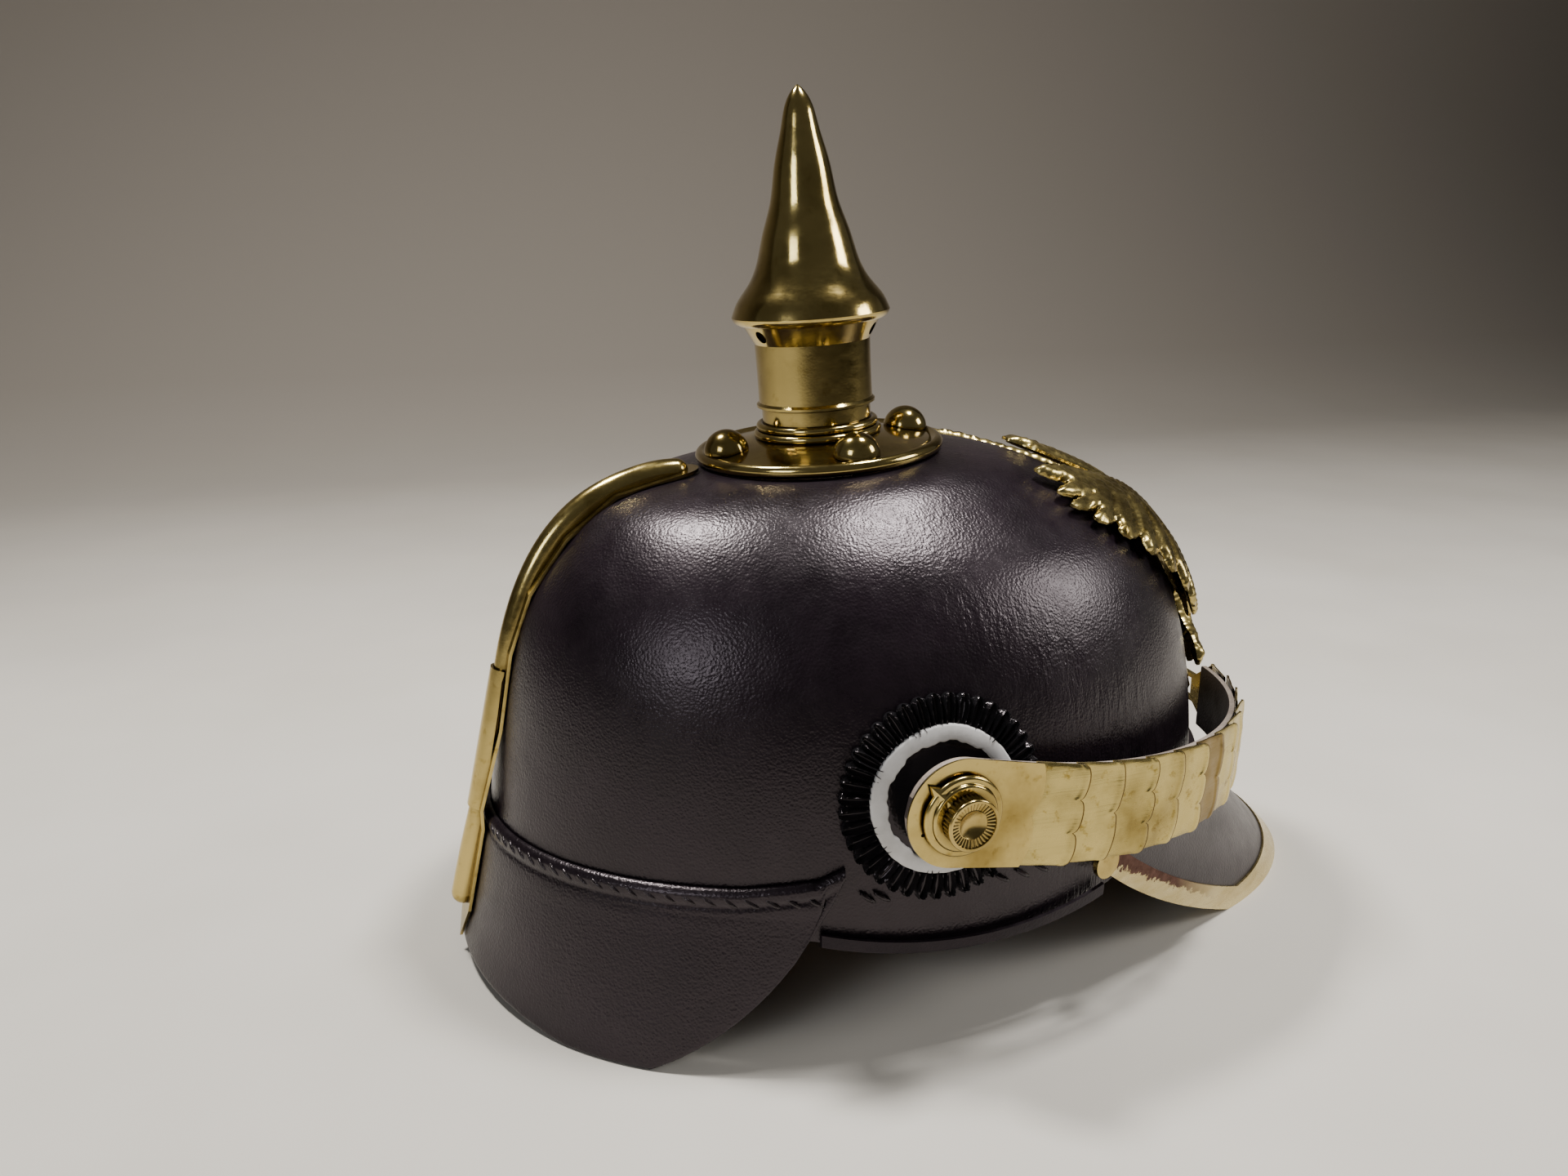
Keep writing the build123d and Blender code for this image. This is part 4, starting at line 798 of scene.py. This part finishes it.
def rosette(side):
    """Pressed leather cockade: a ring of looped pleats on a thin disc, and a flat white ring on it."""
    pleats, per = 40, 16
    hub, rim, root, run = 5.9, 27.4, 18.6, 8.5
    cols, rows = pleats * per, 46
    phi = np.tile(np.arange(cols) * TAU / cols, (rows, 1))
    p = np.tile((np.arange(cols) % per) / per - 0.5, (rows, 1))
    edge = rim - 1.3 * (2 * np.abs(p)) ** 2.2
    rad = hub + (edge - hub) * (np.arange(rows) / (rows - 1))[:, None] ** 0.8
    s = (rad - root) / run
    pitch = TAU * rad / pleats
    wide = 0.33 * pitch * np.sqrt(np.clip(1 - ((s - 0.5) / 0.56) ** 2, 0, None))
    off = np.abs(p) * pitch - wide
    beyond = np.clip(np.abs(s - 0.5) - 0.5, 0, None) * run
    ridge = bell(np.hypot(off, beyond) / 0.36) * (s > -0.12)
    hollow = 0.45 * bell(p * pitch / 0.7) * ((s > 0.1) & (s < 0.95))
    between = 0.35 * bell((np.abs(p) - 0.5) * pitch / 0.35) * (s > 0)
    lean = 0.25 * np.sin(phi * 7 + 1.3) + 0.2 * np.sin(phi * 17)
    rise = np.where(rad > 18, 1.25 + (1.45 + lean) * ridge - hollow - between, 1.5)
    outer = on_side(rad, phi, rise, side)
    inner = on_side(rad, phi, np.full_like(rad, 0.12), side)
    name = "right" if side < 0 else "left"
    verts, faces = shell(outer, inner, wrap=True)
    obj = face_out(link(name + "_rosette", verts, faces, "helmet", M["cockade"]))
    sharp(obj, 60)
    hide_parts(name + "_cockade")
    cols = 240
    profile = np.array([
        (0, 2.3), (0.04, 2.62), (0.14, 2.78), (0.5, 2.82), (0.86, 2.78), (0.96, 2.62), (1, 2.3),
    ])
    phi = np.tile(np.arange(cols) * TAU / cols, (len(profile), 1))
    low = 15.5 + 0.26 * np.sin(9 * phi + 1) + 0.14 * np.sin(23 * phi) + 0.08 * np.sin(41 * phi + 2)
    high = 19.7 + 0.1 * np.sin(5 * phi) + 0.05 * np.sin(31 * phi)
    rad = low + (high - low) * profile[:, :1]
    outer = on_side(rad, phi, np.repeat(profile[:, 1:], cols, 1), side)
    inner = on_side(rad, phi, np.full_like(rad, 1.45), side)
    verts, faces = shell(outer, inner, wrap=True)
    ring = face_out(link(name + "_white_ring", verts, faces, "helmet", M["white"]))
    sharp(ring, 60)
    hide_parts(name + "_cockade_ring")


for side in (-1, 1):
    rosette(side)


# Side posts
def turned(profile, side, steps=144):
    """Closed turned form about the side post from radii and distances from the middle."""
    prof = np.array(profile, float)
    turn = np.arange(steps) * TAU / steps
    x = prof[:, :1] * np.cos(turn)
    z = POST_Z + prof[:, :1] * np.sin(turn)
    y = np.repeat(prof[:, 1:2], steps, 1) * side
    return np.stack([x, y, z], -1), grid_faces(len(prof), steps, 0, True) + end_faces(len(prof), steps)


def arc_points(r, y, rr, start, stop, count=9):
    """Points of a moulding's arc, as radius and distance."""
    turns = np.radians(np.linspace(start, stop, count))
    return [(r + rr * math.cos(a), y + rr * math.sin(a)) for a in turns]


RING_Y, KNOB_Y = 97.2, 99.85
KNOB_STEPS, TEETH = 288, 18


def side_post(side):
    """Ring of rounded mouldings with a three-cornered lug, and a milled screw with a dished head."""
    name = "right" if side < 0 else "left"
    profile = [(5.4, 88.0), (5.4, RING_Y), (9.9, RING_Y)]
    profile += arc_points(10.1, RING_Y + 0.9, 0.9, -90, 90)
    profile += arc_points(9.4, RING_Y + 2.0, 0.25, -90, -180, 4)
    profile += arc_points(8.35, RING_Y + 1.95, 0.7, -20, 90) + [(3.2, RING_Y + 2.62)]
    verts, faces = turned(profile, side)
    turn = math.radians(135)
    lug = np.array([(13.4, 0, 0.3), (7.2, 3.6, 0.3), (7.2, -3.6, 0.3), (13.2, 0, 1.0), (7.0, 3.3, 1.7),
                    (7.0, -3.3, 1.7), (6.6, 0, 3.1)])
    x = lug[:, 0] * math.cos(turn) - lug[:, 1] * math.sin(turn)
    z = lug[:, 0] * math.sin(turn) + lug[:, 1] * math.cos(turn)
    nose = np.stack([x, side * (RING_Y + lug[:, 2]), POST_Z + z], -1)
    nose_faces = [(0, 1, 2), (0, 3, 4, 1), (0, 2, 5, 3), (3, 6, 4), (3, 5, 6), (1, 4, 6, 5, 2)]
    verts, faces = join_parts([(verts, faces), (nose, nose_faces)])
    ring = face_out(link(name + "_ring_moulding", verts, faces, "helmet", M["brass"]))
    sharp(ring, 34)
    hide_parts(name + "_post_ring")
    top = KNOB_Y + 4.1
    profile = [(1.6, 88.0), (1.6, KNOB_Y), (6.5, KNOB_Y), (6.8, KNOB_Y + 0.3), (6.8, top - 1.0)]
    profile += arc_points(6.55, top - 0.45, 0.5, -30, 90, 7)
    profile += [(6.1, top - 0.05), (5.95, top - 0.35), (4.0, top - 0.9)]
    profile += [(3.8, top - 0.8), (3.6, top - 0.95)]
    profile += [(r, top - 2.1 + 1.15 * (r / 3.6) ** 2) for r in (3.2, 2.6, 2.0, 1.3, 0.7, 0.2)]
    verts, faces = turned(profile, side, KNOB_STEPS)
    turns = np.arange(KNOB_STEPS) * TAU / KNOB_STEPS
    teeth = np.abs(np.sin(turns * TEETH))
    for k, (r, y) in enumerate(profile):
        if 4.2 < r < 6.0 and y > KNOB_Y + 2:
            verts[k, :, 1] -= side * 0.35 * (1 - teeth)
        if r > 6.4 and KNOB_Y + 0.2 < y < top - 0.6:
            shrink = 1 - 0.05 * (1 - teeth)
            verts[k, :, 0] *= shrink
            verts[k, :, 2] = POST_Z + (verts[k, :, 2] - POST_Z) * shrink
    knob = face_out(link(name + "_milled_screw", verts, faces, "helmet", M["brass_knob"]))
    sharp(knob, 34)
    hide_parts(name + "_post_screw")


for side in (-1, 1):
    side_post(side)

# Chin scales
SIDE, STRAIGHT, REACH, DROP, FADE = 95.5, 28.0, 114.0, 18.5, 80.0
FIRST, PITCH, COUNT, LAP = 20.0, 12.6, 12, 3.0
HINGES = [FIRST + PITCH * i for i in range(COUNT + 1)]
LOBE = 1.9
SCALE_ROWS, SCALE_COLS = 40, 61


def strap_table():
    """Lengths along the chin scales' path in plan, and the places there."""
    turn = np.linspace(-math.pi / 2, 0, 4000)
    x, y = STRAIGHT + REACH * np.cos(turn), SIDE * np.sin(turn)
    lengths = STRAIGHT + np.concatenate([[0], np.cumsum(np.hypot(np.diff(x), np.diff(y)))])
    return lengths, x, y


PATH = strap_table()


def strap_point(at):
    z = POST_Z - DROP * (1 - math.exp(-at / FADE))
    if at < STRAIGHT:
        return np.array([at, -SIDE, z])
    return np.array([np.interp(at, PATH[0], PATH[1]), np.interp(at, PATH[0], PATH[2]), z])


def strap_depth(at):
    return 29.6 - 0.035 * at


def unit(v):
    return v / np.linalg.norm(v)


def link_axes(start, end):
    along = unit(strap_point(end) - strap_point(start))
    out = unit(np.cross(along, (0, 0, 1)))
    return along, out, np.cross(out, along)


def scale_form(start, end, front_x, lobes, lift, seed):
    """Pressed brass scale: crowned across its height, its lobed free edge turned down, with slight dents."""
    along, out, up = link_axes(start, end)
    rear_x, crown, sheet = -0.5, 0.45, 0.5
    rear_half, front_half = strap_depth(start) / 2, strap_depth(end) / 2
    v = np.linspace(-1, 1, SCALE_COLS)
    lobe = LOBE * np.sqrt(np.clip(1 - (2 * ((v + 1) / 2 * lobes % 1.0) - 1) ** 2, 0, 1) * 0.999 + 0.001)
    lobe[0] = lobe[-1] = LOBE * 0.1
    share = np.linspace(0, 1, SCALE_ROWS)[:, None]
    end_x = front_x + lobe[None, :]
    x = rear_x + (end_x - rear_x) * share
    half = rear_half + (front_half - rear_half) * np.clip((x - rear_x) / (front_x - rear_x), 0, 1)
    y = half * v[None, :]
    rim = np.clip(1 - (end_x - x) / 1.1, 0, 1) ** 2
    side_rim = np.clip((np.abs(v)[None, :] - 0.93) / 0.07, 0, 1) ** 2
    dents = 0.09 * np.sin(x * 0.7 + seed) * np.cos(y * 0.31 + 2.1 * seed)
    dents = dents + 0.05 * np.sin(y * 0.83 + seed * 1.7)
    z = lift * np.clip(x / front_x, 0, 1.2) + crown * (1 - v[None, :] ** 2) + dents
    z = z - 0.20 * rim - 0.18 * side_rim + 0.10 * bell((end_x - x - 1.5) / 0.5)
    base = strap_point(start)
    thick = sheet + 0.3 * np.clip(1 - (end_x - x) / 2.5, 0, 1)
    top = base + x[..., None] * along + y[..., None] * up + (z + thick)[..., None] * out
    low = base + x[..., None] * along + y[..., None] * up + z[..., None] * out
    return shell(top, low)


def mirrored(verts, side):
    return np.asarray(verts) * (1, -side, 1)


TILTS = (0.3, -0.1, 0.35, 0.0, 0.4, -0.15, 0.3, 0.1, 0.4, -0.1, 0.3, 0.1)
# these two scales take the darker brass: some tarnish, and painted shade for scales that reflect darker
DARK = (5, 10)
# faces of the free edge: the last row on top, and the wall below it; their near-black brass is a painted
# shadow of the gap under the lobed edge
ROW_FACES = SCALE_COLS - 1
TOP_FACES = (SCALE_ROWS - 1) * ROW_FACES
WALLS = 2 * TOP_FACES
EDGE_FACES = [*range(TOP_FACES - ROW_FACES, TOP_FACES), *range(WALLS + ROW_FACES, WALLS + 2 * ROW_FACES)]
for side, name in ((-1, "right"), (1, "left")):
    for i in range(COUNT):
        start, end = HINGES[i], HINGES[i + 1]
        front = np.linalg.norm(strap_point(end) - strap_point(start)) + LAP - LOBE
        verts, faces = scale_form(start, end, front, 2 + (i + 1) % 2, 1.1 + TILTS[i], i * 1.9 + side)
        mat = M["brass_dark"] if i + (side > 0) in DARK else M["brass_scale"]
        number = f"{i + 1:02d}"
        body = f"{name}_link_{number}"
        piece = link(f"{name}_chin_scale_{number}", mirrored(verts, side), faces, body, mat)
        piece.data.materials.append(M["brass_shadow_edge"])
        for face in EDGE_FACES:
            piece.data.polygons[face].material_index = 1
        face_out(piece)
        sharp(piece, 40)
        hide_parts(f"{name}_scale_{number}")


# Strap leather behind the scales
def strap_frame(at):
    """Place, direction and outward direction of the leather at a length from the post."""
    if at <= 0:
        along = link_axes(0, FIRST)[0]
        base = strap_point(0) + along * at
    else:
        along = unit(strap_point(at + 2) - strap_point(max(at - 2, 0)))
        base = strap_point(at)
    out = unit(np.cross(along, (0, 0, 1)))
    return base, out, np.cross(out, along)


# Section of the leather: depth behind the path, and share of its half height
SECTION = ((0.3, 0.97), (0.3, -0.97), (0.55, -1.0), (2.05, -1.0),
           (2.3, -0.97), (2.3, 0.97), (2.05, 1.0), (0.55, 1.0))


def strap_piece(low, high):
    """Strip of leather between two lengths: its verts and faces, and the faces of its cut edges."""
    count = max(int((high - low) / 0.8), 4)
    ats = np.linspace(low, high, count)
    ring = []
    for at in ats:
        base, out, up = strap_frame(at)
        half = strap_depth(max(at, 0)) / 2 - 0.9
        if at < 0:
            half = math.sqrt(max(13.9**2 - at**2, 0.5))
        ring.append([base - out * o + up * half * h for o, h in SECTION])
    ring = np.array(ring)
    n, k = ring.shape[:2]
    edge = [i for i in range((n - 1) * k) if i % k in (2, 6)]
    return ring.reshape(-1, 3), grid_faces(n, k, 0, True) + end_faces(n, k), edge


cuts = [-13.6] + HINGES + [173.0]
for side, name in ((-1, "right"), (1, "left")):
    links = [f"{name}_strap"] + [f"{name}_link_{i:02d}" for i in range(1, COUNT + 1)] + [f"{name}_clasp"]
    for i, (low, high) in enumerate(zip(cuts, cuts[1:])):
        verts, faces, edge = strap_piece(low, high)
        piece = link(f"{name}_backing_{i + 1:02d}", mirrored(verts, side), faces, links[i], M["strap"])
        piece.data.materials.append(M["strap_edge"])
        for face in edge:
            piece.data.polygons[face].material_index = 1
        face_out(piece)
        sharp(piece, 50)
        if i == 0:
            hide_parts(f"{name}_strap_leather")

# Front plate
PLATE_X, PLATE_Z, PLATE_UP, PLATE_WIDE, STAND = 38.0, 60.0, 126.0, 111.0, 4.6
# middles of the posts behind it, and their direction inwards
PLATE_POSTS = ((78.2, 0, 134.3), (121.53, 0, 72.34), (83.12, 33.3, 125.44), (83.12, -33.3, 125.44))
POST_IN = np.array([-0.8192, 0, -0.5736])
PITCH_35 = math.radians(35)
HALF_OUTLINE = (
    (0.000, 0.460), (0.027, 0.452), (0.041, 0.413), (0.081, 0.421), (0.090, 0.373), (0.068, 0.333),
    (0.086, 0.286), (0.072, 0.238), (0.068, 0.198), (0.099, 0.159), (0.153, 0.214), (0.207, 0.294),
    (0.252, 0.381), (0.297, 0.456), (0.342, 0.500), (0.362, 0.452), (0.344, 0.405), (0.422, 0.456),
    (0.423, 0.413), (0.396, 0.377), (0.462, 0.429), (0.464, 0.381), (0.428, 0.344), (0.486, 0.369),
    (0.491, 0.325), (0.448, 0.296), (0.500, 0.298), (0.500, 0.254), (0.452, 0.230), (0.495, 0.214),
    (0.491, 0.171), (0.432, 0.153), (0.473, 0.123), (0.464, 0.079), (0.405, 0.074), (0.446, 0.036),
    (0.432, -0.008), (0.377, -0.002), (0.405, -0.052), (0.383, -0.091), (0.329, -0.067),
    (0.347, -0.123), (0.315, -0.155), (0.272, -0.119), (0.270, -0.179), (0.234, -0.198),
    (0.198, -0.151), (0.153, -0.159), (0.162, -0.206), (0.216, -0.238), (0.279, -0.230),
    (0.324, -0.262), (0.302, -0.302), (0.248, -0.294), (0.216, -0.341), (0.176, -0.302),
    (0.122, -0.270), (0.108, -0.317), (0.153, -0.365), (0.189, -0.429), (0.140, -0.437),
    (0.126, -0.476), (0.072, -0.456), (0.045, -0.500), (0.000, -0.476),
)
# tips of the wing and tail feathers, as shares of the plate's width and height
TIPS = ((0.342, 0.50), (0.418, 0.455), (0.460, 0.425), (0.488, 0.347), (0.500, 0.276), (0.493, 0.192),
        (0.468, 0.101), (0.439, 0.014), (0.394, -0.072), (0.331, -0.139), (0.252, -0.189))
TAIL = ((0.030, -0.490), (0.098, -0.470), (0.165, -0.432))


def across(shares):
    return np.array(shares) * (PLATE_WIDE, PLATE_UP)


def near_line(pts, a, b):
    """Distance of points from a line piece, and how far along it they lie."""
    d = b - a
    t = np.clip(((pts - a) @ d) / (d @ d), 0, 1)
    return np.linalg.norm(pts - (a + t[:, None] * d), axis=1), t


def relief(pts):
    """Height of the pressed relief over the sheet: feathered wings, scaled breast, head, legs and tail."""
    q = np.abs(pts * (1, 0)) + pts * (0, 1)
    h = np.zeros(len(q))
    arm = np.array([(0.27, 0.365), (0.10, 0.07)])
    for k, tip in enumerate(TIPS):
        root = across(arm[0] + (arm[1] - arm[0]) * k / (len(TIPS) - 1))
        end = across(tip)
        d, t = near_line(q, root, end)
        turn = (end - root) @ np.array([[0, -1], [1, 0]]) / np.linalg.norm(end - root)
        side = (q - root) @ turn
        wide = 3.7 + 1.7 * t
        blade = (1.5 - 0.6 * t - 0.24 * side) * dome(d, wide)
        quill = 0.38 * bell(d / 0.5) * (t < 0.93)
        barbs = 0.16 * np.sin((t * np.linalg.norm(end - root) - 1.1 * d) * 3.0) * (d > 0.6)
        h = np.maximum(h, (blade + quill + barbs) * (t < 1.0) + blade * (t >= 1.0))
    # small feathers over the wing's arm, in rows
    d, t = near_line(q, across((0.32, 0.455)), across((0.085, 0.05)))
    scale_x, scale_y = 4.2, 3.7
    row = np.floor(d / scale_y)
    u = (t * 62 / scale_x + 0.5 * (row % 2)) % 1.0 - 0.5
    w = d / scale_y - row
    covert = 1.9 + 0.8 * w - 1.6 * np.clip(np.hypot(u, np.clip(w - 0.35, 0, 1)) - 0.22, 0, 1)
    h = np.where(d < 11, np.maximum(h, covert * (1 - 0.3 * (d / 11) ** 2)), h)
    # breast with rows of scale feathers
    oval = (q[:, 0] / (0.135 * PLATE_WIDE)) ** 2 + ((q[:, 1] + 2) / (0.235 * PLATE_UP)) ** 2
    body = np.clip(1 - oval, 0, 1)
    row = np.floor(q[:, 1] / 3.4)
    u = (q[:, 0] / 4.2 + 0.5 * (row % 2)) % 1.0 - 0.5
    w = q[:, 1] / 3.4 - row
    feathers = 0.6 * (1 - w) - np.clip(np.hypot(u, 1 - w) - 0.55, 0, 1)
    breast = 3.2 * np.sqrt(body) + feathers * (body > 0.02)
    h = np.where(body > 0, np.maximum(h, breast), h)
    # neck and head
    d, t = near_line(q, across((0.0, 0.16)), across((0.005, 0.34)))
    neck = 2.3 * dome(d, 7.6 - 1.4 * t)
    neck = neck + 0.22 * np.sin(q[:, 1] * 2.4) * (d < 6)
    h = np.maximum(h, neck)
    d, _ = near_line(q, across((0.0, 0.37)), across((0.02, 0.40)))
    h = np.maximum(h, 1.9 * dome(d, 6.6))
    h = h + 0.5 * bell(np.hypot(q[:, 0] - 2.9, q[:, 1] - 49.5) / 0.9)
    # legs and claws
    for a, b, wide, high in (
        ((0.10, -0.16), (0.17, -0.235), 5.2, 3.2), ((0.17, -0.235), (0.235, -0.262), 3.2, 2.6),
        ((0.235, -0.262), (0.310, -0.262), 2.1, 2.0), ((0.235, -0.262), (0.290, -0.292), 2.0, 1.8),
        ((0.225, -0.265), (0.222, -0.325), 2.0, 1.8),
    ):
        d, t = near_line(q, across(a), across(b))
        leg = high * dome(d, wide) + 0.12 * np.sin(t * 30) * (d < wide)
        h = np.maximum(h, leg)
    # tail feathers
    for tip in TAIL:
        root, end = across((tip[0] * 0.3, -0.21)), across(tip)
        d, t = near_line(q, root, end)
        wide = 3.0 + 1.8 * t
        blade = 2.0 * dome(d, wide)
        barbs = 0.12 * np.sin((t * 34 - 1.1 * d) * 3.2) * (d > 0.6)
        h = np.maximum(h, blade + 0.35 * bell(d / 0.5) + barbs)
    return h


def plate():
    """Spread-winged heraldic bird pressed from thin brass sheet, on four posts."""
    half = across(HALF_OUTLINE)
    for _ in range(2):
        ahead = half[:-1] * 0.75 + half[1:] * 0.25
        behind = half[:-1] * 0.25 + half[1:] * 0.75
        half = np.concatenate([half[:1], np.stack([ahead, behind], 1).reshape(-1, 2)[1:-1], half[-1:]])
    ring = np.concatenate([half, (half * (-1, 1))[-2:0:-1]])
    loop = []
    for a, b in zip(ring, np.roll(ring, -1, 0)):
        n = max(int(np.linalg.norm(b - a) / 0.5), 1)
        loop += [a + (b - a) * k / n for k in range(n)]
    loop = np.array(loop)
    way = np.roll(loop, -1, 0) - np.roll(loop, 1, 0)
    way /= np.linalg.norm(way, axis=1)[:, None]
    run = np.cumsum(np.linalg.norm(np.roll(loop, -1, 0) - loop, axis=1))
    notch = 0.32 * np.abs(np.sin(math.pi * run / 2.6)) - 0.2
    loop = loop + notch[:, None] * np.stack([way[:, 1], -way[:, 0]], -1)
    step = 0.8
    gx, gy = np.meshgrid(np.arange(-56, 56, step), np.arange(-64, 64, step * 0.87))
    gx = gx + (np.arange(len(gx)) % 2)[:, None] * step / 2
    grid = np.stack([gx.ravel(), gy.ravel()], -1)
    a, b = loop, np.roll(loop, -1, 0)
    inside = np.zeros(len(grid), bool)
    close = np.full(len(grid), 1e9)
    for p, q in zip(a, b):
        crosses = (p[1] > grid[:, 1]) != (q[1] > grid[:, 1])
        if crosses.any():
            x = p[0] + (grid[:, 1] - p[1]) / (q[1] - p[1] + 1e-12) * (q[0] - p[0])
            inside ^= crosses & (grid[:, 0] < x)
        close = np.minimum(close, near_line(grid, p, q)[0])
    grid = grid[inside & (close > 0.45)]
    pts = np.concatenate([loop, grid])
    edges = [(i, (i + 1) % len(loop)) for i in range(len(loop))]
    out = delaunay_2d_cdt([Vector(q) for q in pts], edges, [], 1, 1e-6)
    flat = np.array([tuple(v) for v in out[0]])
    tris = [tuple(f) for f in out[2]]
    rim = np.full(len(flat), 1e9)
    for p, q in zip(a, b):
        rim = np.minimum(rim, near_line(flat, p, q)[0])
    h = relief(flat) * np.clip(rim / 1.3, 0, 1) ** 0.6
    # sheet's back face on the skull's surface, moved out by the stand
    outer = skull_columns(STAND, TURNS, SKULL_ROWS)
    rows, cols = outer.shape[:2]
    crown = BVHTree.FromPolygons([Vector(q) for q in outer.reshape(-1, 3)], grid_faces(rows, cols, 0, True))
    z_dir = np.array([math.cos(PITCH_35), 0, math.sin(PITCH_35)])
    y_dir = np.array([-math.sin(PITCH_35), 0, math.cos(PITCH_35)])
    back = np.zeros((len(flat), 3))
    face = np.zeros((len(flat), 3))
    for i, (x, y) in enumerate(flat):
        origin = np.array([PLATE_X, 0, PLATE_Z]) + y * y_dir + np.array([0, x, 0]) + 200 * z_dir
        hit, normal, _, _ = crown.ray_cast(Vector(origin), Vector(-z_dir))
        if hit is None:
            hit, normal, _, _ = crown.find_nearest(Vector(origin - 150 * z_dir))
        n = np.array(normal)
        n = n if n @ z_dir > 0 else -n
        back[i] = np.array(hit) - n * 2.3 * min(max((y - 5) / 40, 0), 1)
        face[i] = n
    front = back + face * (0.95 + h)[:, None]
    behind = back + face * (0.08 + 0.93 * h)[:, None]
    n = len(flat)
    verts = np.concatenate([front, behind])
    faces = tris + [tuple(n + i for i in t[::-1]) for t in tris]
    count = {}
    for t in tris:
        for i, j in zip(t, t[1:] + t[:1]):
            count[(i, j)] = count.get((i, j), 0) + 1
    for (i, j) in list(count):
        if (j, i) not in count:
            faces.append((j, i, n + i, n + j))
    parts = [(verts, faces)]
    for mid in PLATE_POSTS:
        mid = np.array(mid)
        reach = 4.3 if mid[1] else 5.2
        parts.append(tube([mid - POST_IN * reach, mid - POST_IN * 3, mid, mid + POST_IN * 4], 1.55, 20))
    verts, faces = join_parts(parts)
    obj = face_out(link("heraldic_bird_plate", verts, faces, "helmet", M["brass_plate"]))
    sharp(obj, 48)
    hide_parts("front_plate")


plate()
